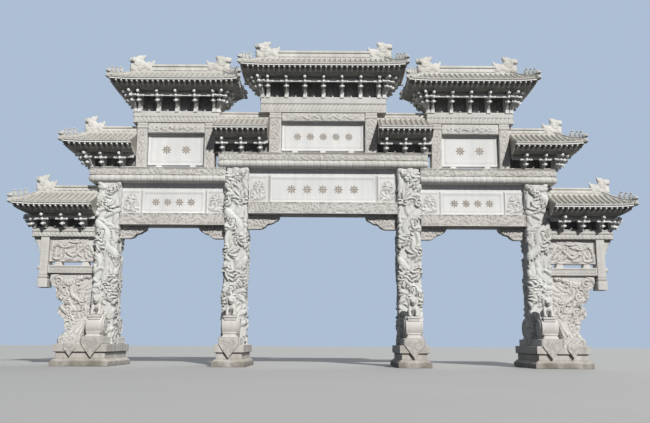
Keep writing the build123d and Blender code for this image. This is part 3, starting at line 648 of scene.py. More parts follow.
@dataclass
class Carving:
    """Strokes on a face; across a shaft the second measure comes round again after its period."""

    strokes: list[Stroke]
    period: float = 0.0

    def heights(self, along: Array, across: Array) -> Array:
        """The height at each point: the last stroke over it, with a groove cut round each stroke.

        A stroke's height at a point is its middle's times (1 - (distance / half width) squared) to the
        power 0.45, for the nearest of its samples, and scales lower it between their middles. Up to 1.25
        times the half width away, what was carved before falls to a quarter.

        Args:
            along: The points' distances along the face.
            across: Their distances across it.

        Returns:
            The heights, in the shape of the distances.
        """
        place = stacked(along.ravel(), across.ravel())
        result = np.zeros(len(place))
        for mark in self.strokes:
            reach = 1.25 * mark.width.max()
            low, high = mark.line.min(axis=0) - reach, mark.line.max(axis=0) + reach
            turns = [0.0]
            if self.period:
                last = math.floor(1 - low[1] / self.period)
                turns = self.period * np.arange(math.ceil(-high[1] / self.period), last + 1)
            for shift in turns:
                offset = np.array([0.0, shift])
                near = np.flatnonzero(((place > low + offset) & (place < high + offset)).all(axis=1))
                if len(near) == 0:
                    continue
                gap = place[near][:, None, :] - (mark.line + offset)
                ratio = (gap**2).sum(axis=-1) / (mark.width**2 + 1e-9)
                nearest = ratio.argmin(axis=1)
                least = ratio[np.arange(len(near)), nearest]
                value = mark.height * np.clip(1 - least, 0, 1) ** 0.45
                if mark.scales:
                    steps = np.linalg.norm(np.gradient(mark.line, axis=0), axis=1)
                    reached = np.cumsum(steps)[nearest] / mark.scales
                    aside = np.sqrt(least) * mark.width[nearest] / mark.scales * 1.6
                    value = value * (0.84 + 0.16 * np.cos(TURN * reached) * np.cos(TURN * aside))
                kept = result[near] * (0.25 + 0.75 * np.clip((least - 1) / 0.56, 0, 1))
                result[near] = np.maximum(value, kept)
        return result.reshape(along.shape)


def hollows(height: Array, depth: float, reach: int = 2) -> Array:
    """How far a relief's points lie below the mean of the points round them, as a share of its depth.

    Args:
        height: Rows by columns of heights.
        depth: The relief's full height.
        reach: Half the side of the square, in points.

    Returns:
        Rows by columns, from 0 on raised parts to 1 in the deepest corners.
    """
    padded = np.pad(height, reach, mode="edge")
    total = np.pad(np.cumsum(np.cumsum(padded, axis=0), axis=1), ((1, 0), (1, 0)))
    side = 2 * reach + 1
    mean = (
        total[side:, side:] - total[:-side, side:] - total[side:, :-side] + total[:-side, :-side]
    ) / side**2
    return np.clip((mean - height) / depth * 2.2, 0, 1)


def leaves(x: Array, z: Array, front: Array, hollow: Array | None = None) -> Shape:
    """A closed slab with one face in front and the same behind: each point at Y = -front and at Y = front.

    Args:
        x: Rows by columns, the X of each point of a face.
        z: Rows by columns, its height, one row above the other.
        front: Rows by columns, its distance from the middle plane.
        hollow: Rows by columns, the depth in a carved ground.

    Returns:
        A closed shape.
    """
    face, back = stacked(x, -front, z), stacked(x, front, z)
    depth = np.zeros(x.shape) if hollow is None else hollow
    return surface(np.hstack([face, back[:, ::-1]]), np.hstack([depth, depth[:, ::-1]]))


@dataclass(frozen=True)
class Shaft:
    """A long stone of rounded rectangular section whose faces carry relief.

    Along the gate its section lies in Y and Z and is walked over the top, down the front, under and up the
    back. Upright it lies in X and Y and is walked along the back, the left, the front and the right.
    """

    start: tuple
    length: float
    run: Run
    width: float
    height: float
    corner: float
    step: float
    square: bool = False

    def way_round(self) -> float:
        """The length of the section's outline."""
        return 2 * (self.width + self.height) - (8 - TURN) * self.corner

    def section(self) -> tuple[Array, Array, Array]:
        """The outline of the section: straight sides, and quarter circles at its corners.

        On a square stone the corners are pushed out along both sides at once, which keeps them sharp.

        Returns:
            Its points, its outward directions and the distance of each point along it.
        """
        a, b = self.width / 2 - self.corner, self.height / 2 - self.corner
        corners = np.array([(a, b), (-a, b), (-a, -b), (a, -b), (a, b)])
        points, normals = [], []
        for turn in range(4):
            normal = polar(np.linspace(0, math.pi / 2, 4) + turn * math.pi / 2)
            points.append(corners[turn] + self.corner * normal)
            count = max(2, round(2 * (a, b)[turn % 2] / self.step))
            share = np.arange(1, count)[:, None] / count
            points.append(points[-1][-1] + share * (corners[turn + 1] - corners[turn]))
            normals += [normal, np.repeat(normal[-1:], count - 1, axis=0)]
        outline, outward = np.concatenate(points), np.concatenate(normals)
        if self.square:
            both_ways = np.abs(outward) / np.abs(outward).max(axis=1, keepdims=True)
            outward = np.sign(outward) * np.clip(1.8 * both_ways, 0, 1)
        steps = np.linalg.norm(np.diff(outline, axis=0), axis=1)
        return outline, outward, np.concatenate([[0], np.cumsum(steps)])

    def middle(self, face: int) -> float:
        """How far round the middle of a face lies, faces counted from 0 in the order that they are walked."""
        sides = [self.width - 2 * self.corner, self.height - 2 * self.corner]
        turned = (face + 1) * math.pi / 2 * self.corner
        return sum(sides[turn % 2] for turn in range(face)) + sides[face % 2] / 2 + turned

    def build(self, relief: Relief, depth: float, rows: Array | None = None) -> Shape:
        """The stone: its section carried along it, each point pushed out by the relief.

        Args:
            relief: Heights for the distances along the stone and along the section.
            depth: The relief's full height, against which hollows are told.
            rows: The distances of its sections, or none for even ones at the step.

        Returns:
            A closed shape.
        """
        outline, outward, around = self.section()
        even = np.linspace(0, self.length, max(2, round(self.length / self.step) + 1))
        along = (even if rows is None else rows)[:, None]
        rise = relief(*np.broadcast_arrays(along, around[None, :]))
        first, second = np.moveaxis(outline + rise[..., None] * outward, -1, 0)
        order = (first, second, along) if self.run is Run.UP else (along, first, second)
        return surface(stacked(*order) + self.start, hollows(rise, depth))

    def vines(self, length: float, swing: float, height: float, shift: float = 0.0) -> Relief:
        """A vine up each of the four faces, as heights over the shaft.

        Args:
            length: How far the vine runs.
            swing: How far its wave goes to each side.
            height: How far it stands up.
            shift: Where it starts along the shaft.

        Returns:
            The heights for distances along and round the shaft.
        """
        strokes = []
        for face in range(4):
            middle = self.middle(face)
            strokes += [mark.shifted(shift, middle) for mark in vine(length, 0.0, swing, 0.6, height)]
        return Carving(strokes, self.way_round()).heights


@dataclass(frozen=True)
class Face:
    """A flat upright stone that carries the same relief in front and behind.

    The relief is drawn in metres from the stone's lower left corner.
    """

    low: float
    high: float
    bottom: float
    top: float
    half: float
    step: float = 0.03
    wear: float = 0.02

    @property
    def width(self) -> float:
        """The length of the stone."""
        return self.high - self.low

    @property
    def height(self) -> float:
        """The height of the stone."""
        return self.top - self.bottom

    def grid(self) -> tuple[Array, Array]:
        """Distances along and up the face at the step, closer together along its rim."""
        measures = []
        for length in (self.width, self.height):
            inner = np.linspace(self.wear, length - self.wear, max(3, round(length / self.step)))
            measures.append(np.concatenate([[0.0], inner, [length]]))
        return tuple(np.meshgrid(*measures))

    def build(self, relief: Relief, depth: float, edge: Relief | None = None) -> Shape:
        """The stone: both faces stand out by the relief and fall back by the wear at the rim.

        Args:
            relief: Heights for distances along and up the face.
            depth: The relief's full height, against which hollows are told.
            edge: The X at each point, for a face whose sides aren't upright.

        Returns:
            A closed shape.
        """
        u, v = self.grid()
        height = relief(u, v)
        rim = (u < 1e-6) | (u > self.width - 1e-6) | (v < 1e-6) | (v > self.height - 1e-6)
        front = self.half + np.where(rim, np.minimum(height, 0) - self.wear * 0.6, height)
        x = self.low + u if edge is None else edge(u, v)
        return leaves(x, self.bottom + v, front, hollows(height, depth))

    def framed(self, strokes: list[Stroke], rim: float, proud: float, depth: float) -> Shape:
        """The stone with strokes inside a raised flat frame: the higher of both at each point.

        Args:
            strokes: The carving.
            rim: The width of the frame.
            proud: How far the frame stands up.
            depth: The relief's full height, against which hollows are told.

        Returns:
            A closed shape.
        """
        carving = Carving(strokes)

        def relief(u: Array, v: Array) -> Array:
            """The higher of the carving and the frame."""
            return np.maximum(carving.heights(u, v), border(u, v, self.width, self.height, rim, proud))

        return self.build(relief, depth)


def border(u: Array, v: Array, width: float, height: float, rim: float, proud: float) -> Array:
    """A raised flat frame: proud within the rim's width of the face's edge."""
    inside = np.minimum(np.minimum(u, width - u), np.minimum(v, height - v))
    return np.where(inside < rim, proud, 0.0)


# Finishes


@dataclass(frozen=True)
class Nodes:
    """Adds shader nodes to a tree; most methods return the socket of what they work out."""

    tree: bpy.types.NodeTree

    def add(self, kind: str, inputs: dict, **settings: object) -> bpy.types.Node:
        """A node of a kind with its settings, whose inputs are numbers, colours or sockets to link.

        Args:
            kind: The end of its type's name.
            inputs: What goes into each input, by name or number.
            settings: Its properties.

        Returns:
            The node.
        """
        node = self.tree.nodes.new(f"ShaderNode{kind}")
        for name, value in settings.items():
            setattr(node, name, value)
        for place, value in inputs.items():
            socket = node.inputs[place]
            if isinstance(value, Socket):
                self.tree.links.new(value, socket)
            else:
                socket.default_value = (*value, 1.0) if socket.type == "RGBA" else value
        return node

    def noise(self, place: Socket, scale: float, detail: float) -> Socket:
        """A noise texture at so many lumps a metre."""
        return self.add("TexNoise", {"Vector": place, "Scale": scale, "Detail": detail}).outputs["Fac"]

    def ramp(self, value: Socket, low: float, high: float, start: float = 0.0, end: float = 1.0) -> Socket:
        """A value taken from one range to another, held at its ends."""
        ranges = {"From Min": low, "From Max": high, "To Min": start, "To Max": end}
        return self.add("MapRange", {"Value": value, **ranges}).outputs["Result"]

    def mixed(self, share: Socket, one: object, two: object) -> Socket:
        """Two colours, given or linked, mixed by a share."""
        return self.add("Mix", {"Factor": share, 6: one, 7: two}, data_type="RGBA").outputs[2]

    def shaded(self, colour: Socket, light: Socket) -> Socket:
        """A colour multiplied by a light value."""
        return self.add("VectorMath", {0: colour, "Scale": light}, operation="SCALE").outputs[0]

    def seen_rays(self) -> Socket:
        """A value that is 1 for rays from the camera, off gloss or through glass, and 0 for the rest."""
        path = self.add("LightPath", {})
        total = path.outputs["Is Camera Ray"]
        for name in ("Is Glossy Ray", "Is Transmission Ray"):
            total = self.add("Math", {0: total, 1: path.outputs[name]}, operation="MAXIMUM").outputs[0]
        return total


def painted(name: str, roughness: float) -> tuple[bpy.types.Material, Nodes, bpy.types.Node]:
    """A new material of one roughness, its nodes and its shader.

    Args:
        name: The material's name.
        roughness: How rough it is.

    Returns:
        The material, its nodes and its shader.
    """
    made = bpy.data.materials.new(name)
    made.use_nodes = True
    shader = made.node_tree.nodes["Principled BSDF"]
    shader.inputs["Roughness"].default_value = roughness
    return made, Nodes(made.node_tree), shader


@dataclass(frozen=True)
class Granite:
    """Pale carved granite: mottled, speckled, streaked where rain runs down, darkened in hollows by dirt and
    painted shade together, and darker on downward faces by painted shade.
    """

    name: str
    colour: tuple
    tint: tuple
    # The dark colour that hollows take, and how far: dirt and painted shade together.
    dirt_and_shade: tuple = (0.25, 0.23, 0.2)
    dirt_and_shade_share: float = 0.55
    streaks: float = 0.2
    chisel: float = 0.35
    # How bright downward faces are left: painted shade under eaves and beams.
    under: float = 0.8

    def material(self) -> bpy.types.Material:
        """Builds the material: noise mixes two tints, fine noise speckles them, hollows take a dark colour
        that is dirt and painted shade together, and downward faces take painted shade.
        """
        stone, nodes, shader = painted(self.name, 0.75)
        shader.inputs["Specular IOR Level"].default_value = 0.35
        coordinates = nodes.add("TexCoord", {})
        place = coordinates.outputs["Object"]
        speckle = nodes.noise(place, 90.0, 3.0)
        mottle = nodes.ramp(nodes.noise(place, 0.7, 5.0), 0.38, 0.64)
        colour = nodes.mixed(mottle, self.colour, self.tint)
        colour = nodes.shaded(colour, nodes.ramp(speckle, 0.3, 0.75, 0.86, 1.08))
        stretched = nodes.add("Mapping", {"Vector": place, "Scale": (5.0, 5.0, 0.45)}).outputs["Vector"]
        rain = nodes.ramp(nodes.noise(stretched, 1.0, 6.0), 0.35, 0.62, 1.0 - self.streaks, 1.03)
        # The hollow attribute darkens creases, recesses and gaps: painted shade, with some dirt.
        hollow = nodes.add("Attribute", {}, attribute_name="hollow").outputs["Fac"]
        depth = nodes.ramp(hollow, 0.04, 0.7, 0.0, self.dirt_and_shade_share)
        colour = nodes.mixed(depth, nodes.shaded(colour, rain), self.dirt_and_shade)
        # Downward faces darker by the under share: painted shade.
        facing = nodes.add("SeparateXYZ", {0: coordinates.outputs["Normal"]}).outputs["Z"]
        colour = nodes.shaded(colour, nodes.ramp(facing, -0.75, -0.25, self.under, 1.0))
        lumps = {0: nodes.noise(place, 22.0, 6.0), 1: self.chisel * 8, 2: speckle}
        height = nodes.add("Math", lumps, operation="MULTIPLY_ADD").outputs[0]
        bump = nodes.add("Bump", {"Strength": 0.6, "Distance": 0.004, "Height": height})
        nodes.tree.links.new(colour, shader.inputs["Base Color"])
        nodes.tree.links.new(bump.outputs["Normal"], shader.inputs["Normal"])
        return stone


@dataclass(frozen=True)
class Plain:
    """An even matt colour with a faint mottle, for the floor; it throws back less light than it shows."""

    name: str
    colour: tuple
    shade: float

    def material(self) -> bpy.types.Material:
        """Builds the material: one colour, darker by slow noise, and by the shade for bounced rays."""
        paint, nodes, shader = painted(self.name, 0.9)
        place = nodes.add("TexCoord", {}).outputs["Object"]
        dark = tuple(0.97 * value for value in self.colour)
        colour = nodes.mixed(nodes.ramp(nodes.noise(place, 0.3, 3.0), 0.3, 0.7), dark, self.colour)
        light = nodes.ramp(nodes.seen_rays(), 0.0, 1.0, self.shade, 1.0)
        nodes.tree.links.new(nodes.shaded(colour, light), shader.inputs["Base Color"])
        return paint


class Finish(Enum):
    """The stone finishes of the gate."""

    DRESSED = Granite("dressed_granite", (0.66, 0.645, 0.615), (0.60, 0.58, 0.55), streaks=0.08)
    CARVED = Granite(
        "carved_granite", (0.67, 0.65, 0.625), (0.61, 0.585, 0.56), dirt_and_shade_share=0.62, streaks=0.06
    )
    PILLAR = Granite(
        "pillar_granite", (0.72, 0.725, 0.705), (0.665, 0.655, 0.635), dirt_and_shade_share=0.8, streaks=0.06
    )
    # ROOF and TILE darken their downward faces most: painted shade under the eaves.
    ROOF = Granite(
        "roof_granite", (0.71, 0.695, 0.655), (0.61, 0.59, 0.55), dirt_and_shade_share=0.8, streaks=0.14, under=0.38
    )
    TILE = Granite(
        "tile_granite", (0.6, 0.585, 0.545), (0.52, 0.5, 0.46), dirt_and_shade_share=0.8, streaks=0.14, under=0.56
    )
    BRACKET = Granite("bracket_granite", (0.72, 0.715, 0.7), (0.62, 0.61, 0.59), streaks=0.12, under=0.7)
    # The very pale colour of the noses' ends, rafter ends, buds and beam strip is painted sunlight.
    PEARL_PAINTED_LIGHT = Granite("pearl_painted_light", (0.9, 0.9, 0.89), (0.86, 0.86, 0.85), streaks=0.02)
    # The recess boards' dark colour is painted shade.
    BOARD_PAINTED_SHADE = Granite("board_painted_shade", (0.31, 0.305, 0.31), (0.24, 0.235, 0.235), streaks=0.2)
    PANEL = Granite("panel_granite", (0.76, 0.76, 0.755), (0.71, 0.71, 0.705), streaks=0.04, chisel=0.1)
    SIGN = Granite("sign_inlay", (0.29, 0.245, 0.19), (0.36, 0.31, 0.25), streaks=0.05)
    CLOTH = Granite("cloth_granite", (0.63, 0.61, 0.58), (0.52, 0.495, 0.46), dirt_and_shade_share=0.6, streaks=0.1)
    BASE = Granite(
        "base_granite", (0.64, 0.615, 0.575), (0.49, 0.455, 0.415), (0.22, 0.195, 0.165), 0.95,
        streaks=0.2, chisel=0.6,
    )


@dataclass
class Workshop:
    """Turns shapes into pieces of the gate, and keeps count of their triangles."""

    materials: dict = field(default_factory=dict)
    triangles: int = 0

    def stone(self, finish: Finish) -> bpy.types.Material:
        """The material of a finish, made once."""
        if finish not in self.materials:
            self.materials[finish] = finish.value.material()
        return self.materials[finish]

    def solid(self, name: str, shape: Shape, crease: float = 35.0) -> bpy.types.Object:
        """Puts a shape's arrays into an object of the scene, smooth but for edges sharper than the crease.

        Args:
            name: Its name.
            shape: Its points and faces.
            crease: The angle of its sharp edges, in degrees.

        Returns:
            The object.
        """
        mesh = bpy.data.meshes.new(name)
        fours, threes = np.arange(len(shape.quads)) * 4, np.arange(len(shape.triangles)) * 3
        loops = np.concatenate([shape.quads.ravel(), shape.triangles.ravel()]).astype(np.int32)
        starts = np.concatenate([fours, len(fours) * 4 + threes]).astype(np.int32)
        for items, count in (
            (mesh.vertices, len(shape.points)), (mesh.loops, len(loops)), (mesh.polygons, len(starts))
        ):
            items.add(count)
        mesh.vertices.foreach_set("co", shape.points.astype(np.float32).ravel())
        mesh.loops.foreach_set("vertex_index", loops)
        mesh.polygons.foreach_set("loop_start", starts)
        mesh.update(calc_edges=True)
        mesh.validate()
        mesh.shade_smooth()
        mesh.set_sharp_from_angle(angle=math.radians(crease))
        depth = mesh.attributes.new("hollow", "FLOAT", "POINT")
        depth.data.foreach_set("value", shape.hollow.astype(np.float32))
        made = bpy.data.objects.new(name, mesh)
        bpy.context.scene.collection.objects.link(made)
        return made

    def piece(
        self, name: str, shape: Shape, finish: Finish, node: str, slot: str, crease: float = 35.0
    ) -> None:
        """Makes a piece of the gate from a shape, and hides the plain solid that it stands for.

        Args:
            name: The piece's name.
            shape: Its points and faces.
            finish: Its stone.
            node: The plain solid that it stands for.
            slot: Not used.
            crease: The angle past which its edges stay sharp.
        """
        made = self.solid(name, shape, crease)
        made.data.materials.append(self.stone(finish))
        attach(made, "root")
        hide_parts(node)
        count = 2 * len(shape.quads) + len(shape.triangles)
        self.triangles += count
        LOG.info("%s: %d triangles", name, count)

    def fused(self, shape: Shape, voxel: float) -> Shape:
        """One skin round overlapping forms: a remesh at a voxel's size, then two passes of smoothing.

        Args:
            shape: The overlapping forms.
            voxel: The size of a voxel.

        Returns:
            The skin.
        """
        rough = self.solid("rough", shape)
        skin = rough.modifiers.new("skin", "REMESH")
        skin.mode = "VOXEL"
        skin.voxel_size = voxel
        rough.modifiers.new("soft", "SMOOTH").iterations = 2
        mesh = bpy.data.meshes.new_from_object(rough.evaluated_get(bpy.context.evaluated_depsgraph_get()))

        def read(items: bpy.types.bpy_prop_collection, name: str, width: int, kind: type) -> Array:
            """One property of a whole collection of the mesh."""
            values = np.zeros(len(items) * width, kind)
            items.foreach_get(name, values)
            return values

        points = read(mesh.vertices, "co", 3, np.float32).reshape(-1, 3).astype(float)
        sizes = read(mesh.polygons, "loop_total", 1, np.int32)
        loops = read(mesh.loops, "vertex_index", 1, np.int32).astype(int)
        starts = np.concatenate([[0], np.cumsum(sizes)[:-1]])
        quads, triangles = (loops[starts[sizes == size][:, None] + np.arange(size)] for size in (4, 3))
        bpy.data.objects.remove(rough)
        bpy.data.meshes.remove(mesh)
        return Shape(points, quads, triangles, np.zeros(len(points)))


# Roofs and bracket zones


@dataclass
class Span:
    """The length that a roof or a bracket zone covers, and which of its ends are hipped."""

    node: str
    low: float
    high: float
    hip_low: bool
    hip_high: bool

    def hips(self) -> list[tuple[float, int]]:
        """The X of each hipped end and the way that it faces, -1 or 1."""
        ends = ((self.low, -1, self.hip_low), (self.high, 1, self.hip_high))
        return [(tip, toward) for tip, toward, hipped in ends if hipped]

    def drawn_in(self, inset: float, cut: float = 0.0) -> tuple[float, float]:
        """The two ends of a part that keeps one inset from hipped ends and another from cut ones."""
        return self.low + (inset if self.hip_low else cut), self.high - (inset if self.hip_high else cut)


@dataclass
class Roof(Span):
    """One tiled roof of the gate, with its eaves, ridge, corner ridges and beasts.

    A hipped end falls to the tip on its own slope; an end that isn't hipped is cut upright.
    """

    eave: float
    ridge_height: float
    finial: tuple
    half_depth: float = 1.2
    ridge_half: float = 0.1
    rise: float = 0.6
    sag: float = 0.045
    hip_run: float = 0.76
    rib_pitch: float = 0.2
    rafter_pitch: float = 0.2
    rafter_inset: float = 0.25
    corner_lift: float = 0.06
    lift_reach: float = 1.1

    def slope(self, share: Array) -> Array:
        """The height above the eave at a share of the way down: a straight fall less a parabola's sag."""
        return self.rise * (1 - share) - 4 * self.sag * share * (1 - share)

    def lift(self, x: Array, y: Array) -> Array:
        """The rise of the eaves towards a hipped corner: the square of the nearness along each side.

        Args:
            x: The places along the gate.
            y: Their distances from its middle plane.

        Returns:
            The rise at each place.
        """
        near = np.zeros(np.broadcast(x, y).shape)
        for tip, _ in self.hips():
            along = np.clip(1 - np.abs(x - tip) / self.lift_reach, 0, 1)
            across = np.clip(1 - np.abs(np.abs(y) - self.half_depth) / self.lift_reach, 0, 1)
            near = np.maximum(near, (along * across) ** 2)
        return self.corner_lift * near

    def section(self) -> tuple[Array, Array, Array]:
        """Half of the roof's section from its ridge over the eave and along the soffit back to the middle.

        Returns:
            The distance out, the height over the eave and how far a hipped end is drawn in there.
        """
        share = np.linspace(0, 1, 8)
        out = self.ridge_half + share * (self.half_depth - self.ridge_half)
        under = np.array([
            (1.2, -0.035), (1.17, -0.045), (1.16, -0.075), (1.12, -0.08), (1.1, -0.1),
            (1.0, -0.17), (0.98, -0.2), (0.95, -0.225), (0.9, -0.235), (0.86, -0.25),
            (0.83, -0.275), (0.78, -0.305), (0.72, -0.325), (0.4, -0.33), (0.0, -0.32),
            (0.0, 0.3),
        ])
        outs = np.concatenate([[0.0], out, under[:, 0]])
        rises = np.concatenate([[self.rise], self.slope(share), under[:, 1]])
        drawn = np.concatenate([[self.hip_run], self.hip_run * (1 - share), self.half_depth - under[:, 0]])
        return outs, rises, drawn

    def body(self) -> Shape:
        """The roof's slab: the half section carried along the gate, and a section round each hipped end."""
        out, rise, drawn = self.section()
        share = np.concatenate([
            np.linspace(0, 0.2, 5), np.linspace(0.3, 0.7, 4), np.linspace(0.8, 1, 5)
        ])[:, None]
        low, high = self.low + drawn * self.hip_low, self.high - drawn * self.hip_high
        # Slab tops between the ribs take dirt and painted shade, and the soffit between the rafters takes
        # painted shade, through the hollow attribute.
        rafter_gap_shade = (out > 0.98) & (out < 1.11) & (rise < 0)
        tile_dirt_and_shade = np.broadcast_to(np.where(rise > -0.01, 0.9, np.where(rafter_gap_shade, 1.0, 0.0)), (len(share), len(out)))

        def skin(x: Array, y: Array) -> Shape:
            """The section's heights over a grid of places."""
            return surface(stacked(x, y, self.eave + rise + self.lift(x, y)), tile_dirt_and_shade)

        ends = [skin(tip - toward * drawn, (2 * share - 1) * out) for tip, toward in self.hips()]
        return join([both_faces(skin(low + share * (high - low), -out))] + ends)

    def rows(self, pitch: float, inset: float) -> list[tuple[Array, Array, Array]]:
        """The places of ribs or rafters at one pitch along each eave, with the way out and the hip's share.

        Args:
            pitch: The distance between them.
            inset: The distance that the row keeps from a hipped corner.

        Returns:
            For each eave: points of the eave line, the direction out, and the share down the slope at which
            the hip crosses.
        """

        def spread(low: float, high: float) -> Array:
            """As many places as fit between two ends at the pitch, about their middle."""
            count = int((high - low) // pitch)
            return (low + high) / 2 + (np.arange(count + 1) - count / 2) * pitch

        x = spread(*self.drawn_in(inset, 0.06))
        start = np.zeros(len(x))
        for tip, _ in self.hips():
            start = np.maximum(start, 1 - np.abs(x - tip) / self.hip_run)
        eaves = [(stacked(x, side * self.half_depth), np.array([0.0, side]), start) for side in (-1.0, 1.0)]
        y = spread(inset - self.half_depth, self.half_depth - inset)
        start = np.clip((np.abs(y) - self.ridge_half) / (self.half_depth - self.ridge_half), 0, 1)
        return eaves + [(stacked(tip, y), np.array([toward, 0.0]), start) for tip, toward in self.hips()]

    @staticmethod
    def bars(line: Array, out: Array, back: Array, height: Array, ring: Array) -> Shape:
        """Bars square to an eave: eave point - back x way out, with a ring of points about each section.

        Args:
            line: The point of the eave line for each bar.
            out: The direction out.
            back: Bars by sections, the distance behind the eave line.
            height: Bars by sections, the height.
            ring: The section's points, or those of each section, across and up.

        Returns:
            A shape of closed bars.
        """
        plan = (line[:, None] - out * back[..., None])[..., None, :]
        across = ring[..., 0]
        return bundle(stacked(
            plan[..., 0] - across * out[1], plan[..., 1] + across * out[0], height[..., None] + ring[..., 1]
        ))

    def ribs(self) -> Shape:
        """Half-round cover tiles down each slope, each with a round stop, and a pointed drip between them."""
        arch = np.concatenate([
            polar(np.linspace(0, math.pi, 6)), [[-1.0, -0.4], [1.0, -0.4]]
        ]) * [0.056, 0.075]
        parts = []
        for line, out, start in self.rows(self.rib_pitch, 0.1):
            share = start[:, None] + (1 - start[:, None]) * np.linspace(0, 1, 5)
            run = self.half_depth - self.ridge_half if abs(out[1]) > 0 else self.hip_run
            back = run * (1 - share)
            plan = line[:, None] - out * back[..., None]
            height = self.eave + self.slope(share) + self.lift(plan[..., 0], plan[..., 1])
            turn = math.atan2(out[1], out[0]) + math.pi / 2
            stops = stacked(*line.T, self.eave + self.lift(*line.T) + 0.01)
            middle = (stops[1:] + stops[:-1]) / 2 - [0, 0, 0.012]
            parts += [self.bars(line, out, back, height, arch), self.stop().copies(stops, turn)]
            parts.append(self.drip().copies(middle, turn))
        return join(parts)

    @staticmethod
    def stop() -> Shape:
        """The round end of a cover tile: circles with a raised rim and a boss, facing -Y."""
        radius = np.array([0.056, 0.056, 0.044, 0.04, 0.016])[:, None]
        depth = np.array([0.03, -0.012, -0.012, -0.002, -0.012])[:, None]
        across, upward = round_profile(8).T
        return surface(stacked(radius * across, depth, radius * upward))

    @staticmethod
    def drip() -> Shape:
        """The pointed edge of a pan tile: a shield outline, thin, facing -Y."""
        across = np.array([-0.06, -0.06, -0.03, 0.0, 0.03, 0.06, 0.06])
        upward = np.array([0.03, -0.01, -0.024, -0.034, -0.024, -0.01, 0.03])
        return surface(stacked(across, np.array([[-0.014], [0.02]]), upward))

    def rafters(self) -> Shape:
        """The row of rafters under each eave: round bars that rise inwards and are drawn in at their ends."""
        out_end, z_end, out_start, z_start = 1.14, -0.142, 0.92, -0.232
        share = np.array([0.0, 1.0, 1.03])
        ring = np.array([1.0, 1.0, 0.55])[:, None, None] * (round_profile(6) * 0.04)[:, ::-1]
        back = self.half_depth - (out_start + share * (out_end - out_start))
        parts = []
        for line, out, _ in self.rows(self.rafter_pitch, self.rafter_inset):
            height = self.eave + z_start + share * (z_end - z_start) + self.lift(*line.T)[:, None]
            parts.append(self.bars(line, out, back, height, ring))
        return join(parts)

    def rafter_ends(self) -> Shape:
        """The board under the tiles' edge and the round ends of the upper rafters below it, pale with painted
        sunlight.
        """
        edge, ends_out, ends_drop, samples = 1.18, 1.165, 0.136, 18
        section = np.array([(-0.015, -0.09), (0.015, -0.09), (0.015, -0.055), (-0.015, -0.055)])
        share = np.linspace(0, 1, samples)
        low, high = self.drawn_in(self.half_depth - edge)
        parts = []
        for line, out, _ in self.rows(self.rafter_pitch, self.rafter_inset):
            plan = line + out * (ends_out - self.half_depth)
            places = stacked(*plan.T, self.eave - ends_drop + self.lift(*line.T))
            parts.append(ball(0.034, 6, 4).copies(places))
            x, y = low + share * (high - low), np.full(samples, out[1] * edge)
            if out[0]:
                x = np.full(samples, line[0, 0] + out[0] * (edge - self.half_depth))
                y = (2 * share - 1) * edge
            parts.append(carried(section, stacked(x, y, self.eave + self.lift(x, y)), np.array([*out, 0.0])))
        return join(parts)

    def ridge(self) -> Shape:
        """The main ridge: a moulded section, half widths by heights, carried along the gate."""
        half = np.array([
            (0.19, -0.3), (0.19, 0.05), (0.13, 0.08), (0.1, 0.12), (0.075, 0.14), (0.075, 0.2), (0.1, 0.23),
            (0.1, 0.6), (0.07, 0.63), (0.07, 0.7), (0.105, 0.73), (0.105, 0.97), (0.08, 1.0),
        ])
        section = np.concatenate([half, half[::-1] * [-1, 1]]) * [1.0, self.ridge_height]
        ends = np.array(self.drawn_in(self.hip_run + 0.05))
        return carried(section, stacked(ends, 0.0, self.eave + self.rise), np.array([0.0, 1.0, 0.0]))

    def corner(self, tip: float, toward: int, side: int, beast: Shape, head: Shape) -> Shape:
        """A corner ridge with three small beasts and an end head, upswept at its tip.

        Args:
            tip: The X of the roof's end.
            toward: The way that the end faces, -1 or 1.
            side: The side of the gate, -1 for the front.
            beast: A small beast that faces +X.
            head: A dragon's head that faces +X.

        Returns:
            A shape of closed forms.
        """
        share = np.linspace(0.0, 1.0, 12)
        x = tip - toward * self.hip_run * (1 - share)
        y = side * (self.ridge_half + share * (self.half_depth - self.ridge_half))
        path = stacked(x, y, self.eave + self.slope(share) + self.lift(x, y) + 0.035 + 0.05 * share**6)
        way = path[-1] - path[0]
        angle = math.atan2(way[1], way[0])
        half = np.array([
            (0.06, -0.05), (0.06, 0.01), (0.045, 0.025), (0.045, 0.05), (0.055, 0.065), (0.05, 0.085)
        ])
        section = np.concatenate([half, half[::-1] * [-1, 1]])
        seats = [np.interp([0.55, 0.7, 0.85], share, column) for column in path.T]
        near_tip = path[-1] + [-0.02 * math.cos(angle), -0.02 * math.sin(angle), 0.1]
        return join([
            carried(section, path, np.array([-math.sin(angle), math.cos(angle), 0.0])),
            beast.scaled(1.4, 1.4, 1.5).copies(stacked(*seats) + [0, 0, 0.08], angle),
            head.copies(near_tip, angle),
            head.scaled(0.9, 0.9, 1.15).copies(path[-1] + [0.0, 0.0, -0.1], angle),
        ])

    def beasts(self, beast: Shape, head: Shape, finial: Shape) -> list[Shape]:
        """The corner ridges and ridge-end dragons of every hipped end.

        Args:
            beast: A small beast that faces +X.
            head: A dragon's head that faces +X.
            finial: A ridge-end dragon 1 m long that faces +X, with its foot at the origin's height.

        Returns:
            Shapes of closed forms.
        """
        parts = []
        length, height = self.finial
        for tip, toward in self.hips():
            parts += [self.corner(tip, toward, side, beast, head) for side in (-1, 1)]
            dragon_end = finial.scaled(length, length, height)
            facing = dragon_end if toward > 0 else dragon_end.mirrored(0)
            parts.append(
                facing.moved(tip - toward * (self.hip_run * 0.6 + length), 0.0, self.eave + self.rise)
            )
        return parts


